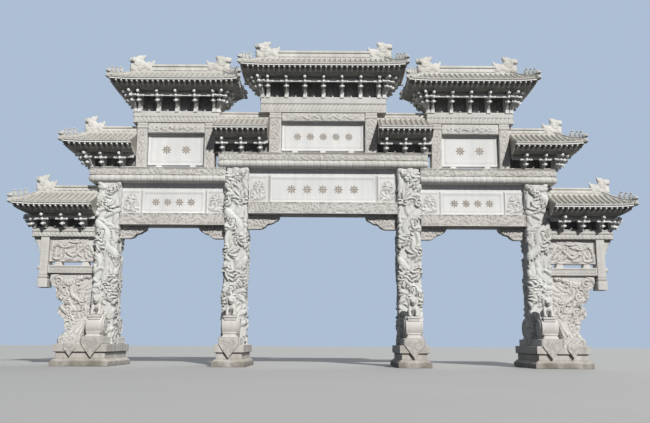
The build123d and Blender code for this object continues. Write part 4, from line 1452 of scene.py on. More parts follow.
@dataclass
class Brackets(Span):
    """A bracket zone: recessed boards on a core wall, and bracket sets in front, behind and at its ends."""

    floor: float
    height: float
    corner_reach: float
    pitch: float = 0.722
    margin: float = 0.2
    inset: float = 0.08
    wall: float = 0.28
    core_half: float = 0.06
    reach: float = 0.5

    def one_set(self) -> Shape:
        """A bracket set that faces -Y from the wall plane y = 0, its foot at the origin.

        A wedge foot, a stem with rising beaks, and two cross arms.
        """
        h, reach = self.height, self.reach
        across, upward = np.array([(-0.085, 0.0), (0.085, 0.0), (0.05, 0.3 * h), (-0.05, 0.3 * h)]).T
        front = np.array([-0.12, -0.12, -0.08, -0.08])
        wedge = np.stack([stacked(across, 0.02, upward), stacked(across * 0.85, front, upward)])
        out, level = np.array([
            (0.02, 0.12 * h), (-0.06, 0.12 * h), (-0.22, h - 0.44), (-0.3, h - 0.36), (-0.32, h - 0.28),
            (-0.39, h - 0.21), (-0.42, h - 0.12), (-0.48, h - 0.03), (-0.4, h), (0.02, h),
        ]).T
        parts = [surface(wedge), surface(stacked(np.array([[-0.045], [0.045]]), out, level))]
        for z, y, half in ((h - 0.22, reach * 0.76, 0.2), (h - 0.37, reach * 0.55, 0.1)):
            parts.append(block((-half, -y - 0.035, z - 0.035), (half, -y + 0.035, z + 0.03), 0.012))
        return join(parts)

    def pearls(self) -> Shape:
        """The round ends of a set's noses, one above the other, and of its middle arm."""
        balls = (
            (0, 1.05, 0.075, 0.064), (0, 0.84, 0.22, 0.062), (0, 0.66, 0.39, 0.056),
            (-0.2, 0.78, 0.22, 0.042), (0.2, 0.78, 0.22, 0.042),
        )
        return join([
            ball(size, 7, 4).moved(x, -self.reach * out, self.height - drop) for x, out, drop, size in balls
        ])

    def board(self) -> Shape:
        """A recess board between two sets that faces -Y: an arch round an oval boss."""
        h, half = self.height, self.pitch * 0.26
        arch = polar(np.linspace(0, math.pi, 9)) * [half, 0.24 * h] + [0.0, 0.48 * h]
        path = np.concatenate([[[half, 0.08 * h]], arch, [[-half, 0.08 * h]]])
        rim = tube(stacked(path[:, 0], 0.0, path[:, 1]), 0.022, 5)
        return join([rim, egg((0, 0.0, 0.4 * h), (half * 0.55, 0.03, 0.2 * h), count=8)])

    def middles(self) -> Array:
        """The X of each bracket set."""
        count = int((self.high - self.low - 2 * self.margin + 1e-6) // self.pitch) + 1
        return (self.low + self.high) / 2 + (np.arange(count) - (count - 1) / 2) * self.pitch

    def front_and_back(self, unit: Shape, x: Array, y: float, z: float = 0.0) -> list[Shape]:
        """Copies of a shape that faces -Y, so far in front of the middle plane and turned round behind it."""
        places = stacked(x, -y, self.floor + z)
        return [unit.copies(places * [1, side, 1], turn) for side, turn in ((1, 0.0), (-1, math.pi))]

    def beams(
        self, ends: tuple, near: float, far: float, low: float, high: float, edge: float
    ) -> list[Shape]:
        """A beam in front and one behind, between two distances from the middle plane and two heights.

        Args:
            ends: The X of both ends.
            near: The nearer distance from the middle plane.
            far: The farther one.
            low: How far its foot lies under the zone's top.
            high: How far its top lies there.
            edge: The wear of its edges.

        Returns:
            The two beams.
        """
        bottom, top = self.floor + self.height - low, self.floor + self.height - high
        return [
            block((ends[0], side * near, bottom), (ends[1], side * far, top), edge) for side in (-1, 1)
        ]

    def recess(self) -> Shape:
        """The wall behind the sets with its boards, dark with painted shade."""
        low, high = self.drawn_in(self.inset)
        face = self.core_half
        x = self.middles()
        between = np.concatenate([[x[0] - self.pitch], x, [x[-1] + self.pitch]])
        middle = (between[1:] + between[:-1]) / 2
        middle = middle[(middle > low + 0.12) & (middle < high - 0.12)]
        core = block((low, -face, self.floor), (high, face, self.floor + self.height), 0.01)
        return join([core] + self.front_and_back(self.board(), middle, face))

    def all_round(self, unit: Shape) -> Shape:
        """One set's shape for every set in front, behind, at hipped ends and fanned at their corners.

        Args:
            unit: The shape of one set, facing -Y.

        Returns:
            All the copies as one shape.
        """
        parts = self.front_and_back(unit, self.middles(), self.wall)
        corner = unit.scaled(1.0, self.corner_reach, 1.0)
        for tip, toward in self.hips():
            x_end = tip - self.inset * toward
            parts.append(unit.copies([x_end, 0, self.floor], toward * math.pi / 2))
            for side in (-1, 1):
                place = [x_end - 0.03 * toward, side * (self.wall - 0.03), self.floor]
                turn = math.atan2(side, toward) + math.pi / 2
                parts += [corner.copies(place, turn + lean) for lean in (-0.45, 0.0, 0.45)]
        return join(parts)

    def build(self) -> Shape:
        """The zone's frame beams, cheeks and every bracket set."""
        h, wall = self.height, self.wall
        parts = [self.all_round(self.one_set())]
        for bottom, top, proud in ((0.0, 0.05, 0.03), (h - 0.06, h, 0.2)):
            ends = self.drawn_in(self.inset - proud)
            low = (ends[0], -wall - proud, self.floor + bottom)
            high = (ends[1], wall + proud, self.floor + top)
            parts.append(block(low, high, 0.012))
        ends = self.drawn_in(self.inset - self.margin)
        parts += self.beams(ends, wall + 0.24, wall + 0.31, 0.2, 0.1, 0.012)
        cheek = block((-0.08, -0.02, 0.05), (0.08, 0.3, h - 0.05), 0.01)
        return join(parts + self.front_and_back(cheek, self.middles(), wall))

    def beads(self) -> Shape:
        """The parts pale with painted sunlight: the ends of the sets' noses, the buds at the foot of the
        recesses and, in tall zones, a strip along the front beams.
        """
        parts = [self.all_round(self.pearls())]
        if self.height > 0.7:
            parts += self.beams(self.drawn_in(-0.3), self.wall + 0.36, self.wall + 0.4, 0.24, 0.21, 0.006)
        x = self.middles()
        between = (x[1:] + x[:-1]) / 2
        for side in (-1, 1):
            places = stacked(between, side * (self.wall + 0.02), self.floor + 0.08)
            parts.append(ball(0.03, 6, 3).copies(places))
        return join(parts)


# Carved stones


@dataclass(frozen=True)
class Pillar:
    """A square pillar with dragons among clouds in high relief on all four faces."""

    node: str
    seed: int
    core: float = 0.8
    corner: float = 0.06
    rise: float = 0.1
    step: float = 0.029
    covers: int = 22

    def build(self) -> Shape:
        """The pillar: a shaft round which two dragons climb, with clouds and feathers over its ground."""
        low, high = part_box(self.node)
        length = high.z - low.z
        foot = ((low.x + high.x) / 2, 0.0, low.z)
        shaft = Shaft(foot, length, Run.UP, self.core, self.core, self.corner, self.step)
        period, carved = shaft.way_round(), length - 0.15
        chance = np.random.default_rng(self.seed)
        share = np.linspace(0.965, 0.05, 26)
        strokes = swells(carved, period, 0.34, 0.8, self.rise * 0.6, self.seed)
        for start, hand in ((0.0, 1), (period / 2, -1)):
            swing = 0.16 * np.sin(share * 31 + start) + chance.uniform(-0.06, 0.06, len(share))
            around = shaft.middle(2) + start + hand * (1 - share) * carved * 0.75 + swing
            strokes += dragon(stacked(share * carved, around), 0.165, self.rise, hand)
        for cover in range(self.covers):
            place = ((cover + chance.uniform(0.1, 0.9)) / self.covers * carved, chance.uniform(0, period))
            angle = chance.uniform(-0.8, 0.8) + math.pi * (cover % 2)
            strokes += cloud(place, chance.uniform(0.12, 0.18), angle, self.rise * 0.9)
            spread = chance.uniform(0.5, 0.9)
            strokes += plumes(place, angle + 0.6, chance.uniform(0.4, 0.6), spread, 3, 0.07, self.rise)
        return shaft.build(Carving(strokes, period).heights, self.rise)


def facing_pair(
    face: Face, middle: float, swings: tuple, lean: float, width: float, height: float
) -> list[Stroke]:
    """Two dragons that face each other on a stone, from its middle to its ends.

    Args:
        face: The stone.
        middle: The height of their middle line.
        swings: For each point of the body, its share of the way to the end and its share of the height.
        lean: How much the swings are stretched.
        width: Half the width of their bodies.
        height: How far they stand up.

    Returns:
        Their strokes.
    """
    strokes = []
    for side in (-1, 1):
        path = [
            (face.width / 2 + side * share * face.width / 2, middle + swing * face.height * lean)
            for share, swing in swings
        ]
        strokes += dragon(path, width, height, side)
    return strokes


@dataclass(frozen=True)
class Bay:
    """One opening's name panel, lower beam and the corner brackets below it."""

    low: float
    high: float
    panel_top: float
    panel_height: float
    bracket: tuple
    seed: int
    signs: tuple = (4, 0.16, 0.45)
    beam_height: float = 0.47
    squares: float = 0.72
    shade: float = 0.28

    def panel(self) -> tuple[Shape, Shape]:
        """The name panel: sunk end squares with lotus sprays and a framed middle with a row of rosettes.

        Returns:
            The panel and the rosettes inlaid in it.
        """
        top = self.panel_top - self.shade
        face = Face(self.low, self.high, self.panel_top - self.panel_height, top, 0.2, 0.043)
        width, height = face.width, face.height
        start, stop = self.squares + 0.09, width - self.squares - 0.09
        strokes = []
        for centre in (self.squares / 2, width - self.squares / 2):
            strokes += rosette((centre, height * 0.6), 0.17, 0.045, 7)
            strokes += plumes((centre, height * 0.12), math.pi / 2, 0.46, 2.4, 6, 0.035, 0.04)
            for side in (-1, 1):
                strokes.append(
                    curl((centre + side * 0.2, height * 0.3), 0.11, math.pi / 2, side * 1.2, 0.024, 0.04)
                )
        carving = Carving(strokes)

        def relief(u: Array, v: Array) -> Array:
            """The carving on raised frames round the middle and both squares, with a groove at each joint."""
            framed = border(u - start, v, stop - start, height, 0.07, 0.01)
            frame_middle = np.where((u > start) & (u < stop), framed, 0.0)
            side = np.minimum(u, width - u)
            square = np.where(side < self.squares, border(side, v, self.squares, height, 0.05, 0.01), 0.0)
            joint = np.where((np.abs(side - self.squares - 0.045) < 0.03) & (v > 0), -0.02, 0.0)
            return frame_middle + square + joint + carving.heights(u, v)

        beam = block((self.low, -0.18, top), (self.high, 0.18, self.panel_top), 0.005)
        flowers = inlays(self.signs, (self.low + width / 2, top - height / 2), face.half)
        return join([face.build(relief, 0.024), beam]), flowers

    def beam(self) -> Shape:
        """The lower beam: two dragons that face a pearl among clouds, between thin borders."""
        top = self.panel_top - self.panel_height
        face = Face(self.low, self.high, top - self.beam_height, top, 0.39, 0.03)
        width, height = face.width, face.height
        swings = ((0.14, 0.0), (0.22, 0.1), (0.36, -0.1), (0.5, 0.1), (0.64, -0.09), (0.8, 0.08), (0.9, 0.0))
        strokes = swells(width, height, 0.15, 0.32, 0.016, self.seed, 0.4)
        strokes += scatter(width, height, 0.3, 0.07, 0.018, self.seed)
        strokes += rosette((width / 2, height * 0.5), 0.11, 0.02, 8)
        strokes += facing_pair(face, height * 0.5, swings, 1.4, 0.042, 0.022)
        return face.framed(strokes, 0.04, 0.02, 0.022)

    def brackets(self) -> Shape:
        """The stepped brackets in both upper corners: a scalloped lower edge and curling leaves."""
        length, height = self.bracket
        bottom = self.panel_top - self.panel_height - self.beam_height
        knots = np.array([0.0, 0.34, 0.6, 0.84, 1.0])
        drops = np.array([1.0, 1.0, 0.66, 0.46, 0.15])
        x = Face(0.0, length, 0.0, 1.0, 0.125, 0.025).grid()[0][:1]
        share = np.linspace(0, 1, 22)[:, None]
        step = np.clip(np.searchsorted(knots, x / length, side="right") - 1, 0, 3)
        across = np.clip((x / length - knots[step]) / (knots[step + 1] - knots[step]), 0, 1)
        reach = (drops[step + 1] + (drops[step] - drops[step + 1]) * (1 - across**1.8) ** 0.6) * height
        x, z = np.broadcast_arrays(x, -reach * (1 - share))
        ground = swells(length, height, 0.13, 0.24, 0.035, 4, 0.7)
        strokes = [mark.shifted(0.0, -height) for mark in ground] + [
            curl((length * 0.18, -height * 0.35), 0.16, 0.5, 1.4, 0.03, 0.03),
            curl((length * 0.5, -height * 0.2), 0.12, 2.0, -1.4, 0.026, 0.03),
            curl((length * 0.78, -height * 0.12), 0.08, 2.4, -1.3, 0.02, 0.025),
            leaf((length * 0.1, -height * 0.85), 1.2, 0.3, 0.04, 0.03, -0.6),
            leaf((length * 0.28, -height * 0.55), 0.8, 0.3, 0.035, 0.03, -0.7),
            leaf((length * 0.5, -height * 0.4), 0.5, 0.3, 0.03, 0.03, -0.5),
        ]
        relief = Carving(strokes).heights(x, z)
        rim = (share < 1e-6) | (share > 1 - 1e-6)
        one = leaves(x, z, 0.125 + np.where(rim, -0.015, relief), hollows(relief, 0.03))
        return join([one.moved(self.low, 0, bottom), one.mirrored(0).moved(self.high, 0, bottom)])


def inlays(signs: tuple, centre: tuple, front: float) -> Shape:
    """A row of rosettes of flat petals round a bud, let into the front and the back of a panel.

    Args:
        signs: How many, their radius and the distance between them.
        centre: The X and Z of the row's middle.
        front: The distance of the panel's face from its middle plane.

    Returns:
        Closed shapes.
    """
    count, size, pitch = signs
    share = np.linspace(0, 1, 7)
    half = 0.15 * np.sin(math.pi * (0.1 + 0.86 * share)) ** 0.8
    along = 0.28 + 0.7 * share
    outline = np.concatenate([stacked(along, half), stacked(along, -half)[::-1]]) * size
    petal = plate(outline, 2 * (front + 0.012), edge=0.006)
    bud = plate(round_profile(10, 0.2 * size, 0.2 * size), 2 * (front + 0.016), edge=0.006)
    flower = join([petal.turned(turn, 1) for turn in np.arange(8) * TURN / 8] + [bud])
    shifts = (np.arange(count) - (count - 1) / 2) * pitch
    return join([flower.moved(centre[0] + shift, 0.0, centre[1]) for shift in shifts])


@dataclass(frozen=True)
class Lintel:
    """A broad beam with a plain strip along its top and slanting leaves below it."""

    low: float
    high: float
    bottom: float
    top: float
    half: float

    def build(self) -> Shape:
        """The beam: the strip stands proud, the leaves lie between it and a worn lower edge."""
        face = Face(self.low, self.high, self.bottom, self.top, self.half - 0.03, 0.03)
        band = face.height * 0.56
        carving = Carving(petals(face.width, 0.05, band, 0.16, 0.016))

        def relief(u: Array, v: Array) -> Array:
            """The strip above, the leaves in the middle and a bevel below."""
            strip = np.where(v > face.height * 0.6, 0.026, 0.0)
            foot = np.where(v < 0.045, 0.012 - np.clip(0.03 - v, 0, 1), 0.0)
            return np.maximum(np.where(v < band, carving.heights(u, v), 0.0), strip) + foot

        return face.build(relief, 0.03)


@dataclass(frozen=True)
class RollBeam:
    """A bulging roll in short segments under a carved band."""

    low: float
    high: float
    bottom: float
    round_low: bool
    roll: float = 0.29
    band: float = 0.31
    half: float = 0.52
    pitch: float = 0.245
    inset: float = 0.04

    def build(self) -> Shape:
        """The roll, drawn in at its joints and round at its free ends, and its band of leaves and a vine."""
        length = self.high - self.low
        count = max(2, round(length / self.pitch))
        share = np.array([0.0, 0.03, 0.1, 0.3, 0.7, 0.9, 0.97])
        along = np.append((np.arange(count)[:, None] + share).ravel(), count) * length / count
        draw = 0.016 * np.abs(2 * np.append(np.tile(share, count), 0.0) - 1) ** 8
        for gap in [length - along] + [along] * self.round_low:
            draw = draw + 0.12 * np.clip(1 - gap / 0.13, 0, 1) ** 2
        outline, outward, _ = Shaft((0, 0, 0), 1.0, Run.ALONG, 2 * self.half, self.roll, 0.13, 0.16).section()
        y, z = np.moveaxis(outline - draw[:, None, None] * outward, -1, 0)
        roll = surface(stacked(self.low + along[:, None], y, self.bottom + self.roll / 2 + z))
        low = self.low + self.inset * self.round_low
        top = self.bottom + self.roll
        front = self.half - self.inset - 0.03
        face = Face(low, self.high - self.inset, top - 0.01, top + self.band, front, 0.038)
        strokes = swells(face.width, face.height * 0.86, 0.12, 0.26, 0.026, 7, -0.6)
        carving = Carving(strokes + vine(face.width, face.height * 0.5, face.height * 0.22, 0.62, 0.03))

        def relief(u: Array, v: Array) -> Array:
            """The carving below a plain top border."""
            return np.where(v > face.height * 0.86, 0.03, carving.heights(u, v))

        return join([roll, face.build(relief, 0.03)])


@dataclass(frozen=True)
class Tower:
    """The columns, frieze, plaque and lintel of one tower over the roll beams."""

    middle: float
    spread: float
    column: float
    bottom: float
    top: float
    frieze_height: float
    lintel_half: float
    lintel_top: float
    supports: tuple
    signs: tuple
    seed: int
    support_height: float = 0.14

    def columns(self) -> Shape:
        """Two square columns with a low vine on each face and a plain cap line near the top."""
        length = self.top - self.bottom
        made = []
        for side in (-1, 1):
            place = (self.middle + side * self.spread, 0.0, self.bottom)
            shaft = Shaft(place, length, Run.UP, self.column - 0.04, 0.64, 0.02, 0.036)
            vines = shaft.vines(length - 0.25, self.column * 0.32, 0.024)

            def relief(u: Array, v: Array) -> Array:
                """The vine, and the cap line over it."""
                return np.maximum(vines(u, v), np.where((u > length - 0.2) & (u < length - 0.13), 0.02, 0.0))

            made.append(shaft.build(relief, 0.024))
        return join(made)

    def between(self, low: float, high: float, *measures: float) -> Face:
        """A stone between the columns."""
        half = self.spread - self.column / 2
        return Face(self.middle - half, self.middle + half, low, high, *measures)

    def frieze(self) -> Shape:
        """The frieze: a pearl between two dragons among clouds."""
        face = self.between(self.top - self.frieze_height, self.top, 0.3, 0.028)
        middle = face.height * 0.47
        swings = ((0.16, 0.02), (0.26, 0.14), (0.38, -0.12), (0.52, 0.12), (0.68, -0.12), (0.84, 0.08))
        strokes = scatter(face.width, face.height, 0.17, 0.05, 0.016, self.seed)
        strokes += rosette((face.width / 2, middle), 0.1, 0.04, 8)
        strokes += facing_pair(face, middle, swings, 1.5, 0.045, 0.04)
        return face.build(Carving(strokes).heights, 0.04)

    def plaque(self) -> tuple[Shape, Shape]:
        """The plaque: a sunk field in a flat frame, on small tapered blocks, with rosettes inlaid.

        Returns:
            The plaque and its rosettes.
        """
        low, high = self.bottom + self.support_height, self.top - self.frieze_height
        face = self.between(low, high, 0.105, 0.05, 0.012)
        slab = face.framed([], 0.11, 0.012, 0.03)
        blocks = [
            support(self.middle + share * face.width, self.bottom, low, 0.26) for share in self.supports
        ]
        return join([slab] + blocks), inlays(self.signs, (self.middle, (low + high) / 2), face.half)

    def lintel(self) -> Shape:
        """The lintel over the columns."""
        low, high = self.middle - self.lintel_half, self.middle + self.lintel_half
        return Lintel(low, high, self.top, self.lintel_top, 0.37).build()


@dataclass(frozen=True)
class Wing:
    """The pieces outside an outer pillar: lintel, hanging post, frieze, tie beam, panel and bracket."""

    start: float = 8.57
    end: float = 10.99
    lintel_bottom: float = 4.75
    lintel_height: float = 0.33
    post_x: float = 10.495
    post_side: float = 0.33
    post_bottom: float = 2.86
    tenon: tuple = (0.128, 0.16, 0.14)
    tie_bottom: float = 3.38
    tie_top: float = 3.68
    support_height: float = 0.14
    floor: float = 0.78

    def lintel(self) -> Shape:
        """The lintel over the post."""
        top = self.lintel_bottom + self.lintel_height
        return Lintel(self.start, self.end, self.lintel_bottom, top, 0.32).build()

    def post(self) -> Shape:
        """The hanging post with a low vine, its wider foot with a ring above it, and the tenon."""
        length, side, half = self.lintel_bottom - self.post_bottom, self.post_side - 0.02, self.post_side / 2
        shaft = Shaft((self.post_x, 0.0, self.post_bottom), length, Run.UP, side, 0.51, 0.015, 0.03)
        vines = shaft.vines(length - 0.75, side * 0.28, 0.012, 0.6)

        def relief(u: Array, v: Array) -> Array:
            """The wide foot below, a ring above it and the vine over both."""
            foot, ring = np.where(u < 0.32, 0.035, 0.0), np.where(np.abs(u - 0.42) < 0.03, 0.02, 0.0)
            return np.maximum(np.maximum(vines(u, v), foot), ring)

        reach, depth, height = self.tenon
        low, high = (half - 0.02, -depth, self.tie_top - height), (half + reach - 0.02, depth, self.tie_top)
        return join([shaft.build(relief, 0.02), block(low, high, 0.02).moved(self.post_x)])

    def between(self, low: float, high: float, half: float, step: float = 0.026) -> Face:
        """A stone from the pillar to the post."""
        return Face(self.start, self.post_x - self.post_side / 2, low, high, half, step)

    def frieze(self) -> Shape:
        """The frieze: a dragon and long feathers sweep across it, on two tapered blocks."""
        low = self.tie_top + self.support_height
        face = self.between(low, self.lintel_bottom, 0.125)
        size = np.array([face.width, face.height])
        body = ((0.05, 0.35), (0.18, 0.72), (0.34, 0.5), (0.5, 0.24), (0.68, 0.5), (0.82, 0.76), (0.94, 0.4))
        strokes = swells(*size, 0.26, 0.6, 0.05, 5, -0.3) + dragon(size * body, 0.07, 0.07)
        for x, z, length in ((0.3, 0.9, 0.6), (0.52, 0.7, 0.55), (0.68, 0.2, 0.5), (0.12, 0.12, 0.5)):
            strokes.append(leaf(size * (x, z), -0.6, length, 0.055, 0.065, 1.1))
        blocks = [support(self.start + share * face.width, self.tie_top, low, 0.34) for share in (0.22, 0.8)]
        return join([face.framed(strokes, 0.045, 0.045, 0.06)] + blocks)

    def tie_beam(self) -> Shape:
        """The tie beam: a long shallow vine in a plain border."""
        face = self.between(self.tie_bottom, self.tie_top, 0.245)
        return face.framed(vine(face.width, face.height / 2, 0.07, 0.45, 0.012), 0.05, 0.014, 0.014)

    def panel(self) -> Shape:
        """The wing panel: an outer edge in lobes, covered with two dragons, clouds and spirals."""
        high = self.post_x - self.post_side / 2 - 0.1
        levels, outs = np.array([
            (0.0, 0.52), (0.08, 0.56), (0.2, 0.6), (0.3, 0.63), (0.35, 0.63), (0.38, 0.72), (0.44, 0.79),
            (0.5, 0.79), (0.55, 0.72), (0.57, 0.65), (0.6, 0.76), (0.66, 0.84), (0.72, 0.86), (0.77, 0.86),
            (0.79, 0.87), (0.84, 0.97), (0.9, 1.01), (0.95, 1.01), (1.0, 1.0),
        ]).T
        face = Face(self.start, high, self.floor, self.tie_bottom, 0.15, 0.031)
        size = np.array([face.width, face.height])

        def edge(u: Array, v: Array) -> Array:
            """The X at a share of the width, which the outer edge's lobes set for each height."""
            return self.start + u * np.interp(v / face.height, levels, outs)

        upper = ((0.2, 0.94), (0.42, 0.9), (0.5, 0.72), (0.3, 0.6), (0.14, 0.46), (0.3, 0.34))
        lower = ((0.75, 0.78), (0.6, 0.66), (0.7, 0.52), (0.5, 0.4), (0.3, 0.22), (0.4, 0.08))
        strokes = swells(*size, 0.3, 0.8, 0.05, 11, -0.7) + scatter(*size, 0.8, 0.13, 0.045, 12)
        strokes += dragon(size * upper, 0.095, 0.085, 1) + dragon(size * lower, 0.095, 0.085, -1)
        for x, z, radius, turn in (
            (0.8, 0.88, 0.17, 1), (0.62, 0.7, 0.14, -1), (0.55, 0.47, 0.15, 1),
            (0.42, 0.26, 0.16, -1), (0.3, 0.1, 0.14, 1),
        ):
            strokes.append(curl(size * (x, z), radius, turn, 1.2 * turn, 0.055, 0.07))
        carving = Carving(strokes)
        return face.build(lambda u, v: carving.heights(edge(u, v) - self.start, v), 0.075, edge)

    def bracket(self) -> Shape:
        """The small bracket outside the post: three scallops that step in downwards."""
        levels = [0, 0.02, 0.2, 0.33, 0.36, 0.5, 0.64, 0.67, 0.8, 0.97, 1.0]
        outs = [0.02, 0.07, 0.1, 0.07, 0.12, 0.18, 0.15, 0.2, 0.27, 0.28, 0.27]
        share, across = np.linspace(0, 1, 24)[:, None], np.linspace(0, 1, 10)[None, :]
        rim = (across > 0.99) | (share < 0.01) | (share > 0.99)
        x = self.post_x + self.post_side / 2 + np.interp(share, levels, outs) * across
        z = np.broadcast_to(self.lintel_bottom - 0.58 * (1 - share), x.shape)
        return leaves(x, z, 0.14 - 0.02 * rim)


@dataclass(frozen=True)
class Base:
    """A stepped base: rough plinth, petalled shoulder, waist and an overhanging plate."""

    node: str
    inset: float = 0.16
    plate: float = 0.09
    levels: tuple = (0.18, 0.27, 0.5, 0.78)

    def build(self) -> Shape:
        """The base: an upright stone pushed out level by level, with upright petals on the shoulder."""
        low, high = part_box(self.node)
        plinth, shoulder, waist, top = self.levels
        width, depth = high.x - low.x - 2 * self.inset, high.y - low.y - 2 * self.inset
        shaft = Shaft(((low.x + high.x) / 2, 0.0, 0.0), top, Run.UP, width, depth, 0.02, 0.06, square=True)
        period = shaft.way_round()
        count = round(period / 0.34)
        strokes = [leaf((0.0, (n + 0.5) * period / count), 0.0, 0.2, 0.14, 0.026) for n in range(count)]
        carving = Carving(strokes, period)
        push, foot = self.inset - self.plate, self.inset - 0.036
        knots, outs = np.array([
            (0.0, foot - 0.01), (0.012, foot), (plinth - 0.012, foot), (plinth, foot - 0.02),
            (shoulder, 0.03), (shoulder + 0.003, 0.0), (waist - 0.003, 0.0), (waist, push - 0.012),
            (waist + 0.015, push), (top - 0.015, push), (top, push - 0.012),
        ]).T

        def relief(u: Array, v: Array) -> Array:
            """The steps, the petals and a slow unevenness of the hewn faces: two sines of the way round."""
            rough = 0.004 * np.sin(v * 9.7 + u * 21.0) + 0.003 * np.sin(v * 23.0 - u * 33.0)
            steps = np.interp(u, knots, outs) + carving.heights(u, v) * (u < shoulder)
            return steps + np.where(u < plinth, rough, 0.3 * rough)

        stone = shaft.build(relief, 0.06, np.unique(np.concatenate([knots, np.linspace(0, top, 24)])))
        x, _, z = stone.points.T
        patches = 0.5 + 0.3 * np.sin(x * 5.3) * np.sin(x * 2.1 + 1.0)
        return replace(stone, hollow=np.maximum(stone.hollow, patches * np.clip((0.27 - z) / 0.09, 0, 1)))


@dataclass(frozen=True)
class DrumStone:
    """A drum on a neck and a block with a pointed cloth, under a seat of two plates, in front and behind."""

    x: float
    floor: float = 0.78
    front: float = 1.51
    back: float = 0.44
    block_half: float = 0.38
    block_height: float = 0.25
    neck: float = 0.235
    radius: float = 0.4
    thickness: float = 0.3
    middle_z: float = 1.43
    middle_y: float = 0.975
    seat: float = 0.39
    seat_top: float = 1.8
    drop: float = 0.46

    def drum(self) -> Shape:
        """The drum: rings of the rim's and the disc's profile about its axis, with petals on the disc."""
        profile = np.array([
            (1.08, 0.04), (1.1, 0.12), (1.06, 0.2), (1.03, 0.3), (1.06, 0.5), (1.02, 0.64), (1.1, 0.68),
            (1.1, 0.74), (1.0, 0.78), (0.99, 0.9), (0.92, 0.97), (0.6, 0.99), (0.0, 1.0),
        ])
        out, share = np.concatenate([profile, profile[-2::-1] * [-1, 1]]).T[..., None]
        angle = np.arange(40) * TURN / 40
        bloom = 0.02 * np.exp(-(((share - 0.48) / 0.13) ** 2)) * np.cos(8 * angle) * np.sign(out + 1e-9)
        ring = self.radius * share
        points = stacked(out * self.thickness + bloom, ring * np.cos(angle), ring * np.sin(angle))
        return surface(points).moved(self.x, -self.middle_y, self.middle_z)

    def cloth(self) -> Shape:
        """The pointed cloths over the blocks' fronts."""
        top = self.floor + self.block_height
        return flap(self.x, self.front + 0.012, self.block_half, top, self.floor, self.floor - self.drop)

    def build(self) -> Shape:
        """The drum stones in front of and behind the pillar: block, moulded neck, drum and seat."""
        low, top, neck = self.floor, self.floor + self.block_height, self.neck
        near, far, seat = -self.middle_y - self.seat, -self.middle_y + self.seat, self.seat_top
        steps = (
            (self.block_half, -self.front, -self.back, low, top, 0.02),
            (neck + 0.04, 0.08 - self.front, -self.back, top - 0.01, top + 0.06, 0.02),
            (neck, 0.12 - self.front, -self.back, top, top + 0.13, 0.015),
            (neck + 0.025, 0.1 - self.front, -self.back, top + 0.12, top + 0.18, 0.02),
            (neck - 0.02, near + 0.02, far - 0.02, seat - 0.17, seat - 0.088, 0.012),
            (neck, near, far, seat - 0.08, seat, 0.012),
        )
        blocks = [
            block((self.x - half, near, bottom), (self.x + half, far, over), edge)
            for half, near, far, bottom, over, edge in steps
        ]
        return both_faces(join(blocks[:4] + [self.drum()] + blocks[4:]))


def flap(x: float, y: float, half: float, top: float, shoulder: float, tip: float) -> Shape:
    """Pointed stone cloths in front and behind: full width to the shoulder, then to a tip, with a raised hem.

    Args:
        x: The X of its middle.
        y: Its distance in front of the gate's middle plane.
        half: Half its width.
        top: Its upper edge.
        shoulder: Where it starts to narrow.
        tip: Its lowest point.

    Returns:
        Closed shapes.
    """
    z = np.concatenate([np.linspace(tip, shoulder, 13), np.linspace(shoulder, top, 7)[1:]])[:, None]
    share = np.linspace(-1, 1, 23)[None, :]
    width = half * np.clip((z - tip) / (shoulder - tip), 0.03, 1.0)
    across, z = np.broadcast_arrays(share * width, z)
    middle = shoulder + 0.02
    strokes = rosette((0.0, middle), half * 0.34, 0.02, 6)
    for side in (-1, 1):
        strokes += [
            curl((side * half * 0.52, middle + 0.06), half * 0.26, 1.0, 1.3 * side, 0.018, 0.02),
            curl((side * half * 0.26, middle - half * 0.55), half * 0.2, 2.0, -1.2 * side, 0.015, 0.02),
            leaf(
                (side * half * 0.75, middle - 0.06), -math.pi / 2 - side * 0.7,
                half * 0.5, 0.02, 0.018, side * 0.4,
            ),
        ]
    hem = (width - np.abs(across)) / half < 0.09
    height = np.maximum(Carving(strokes).heights(across, z), np.where(hem, 0.02, 0.0))
    front = np.where(np.abs(share) > 0.999, 0.0, 0.018 + height)
    return both_faces(leaves(x + across, z, front, hollows(height, 0.02, 1)).moved(y=-y))


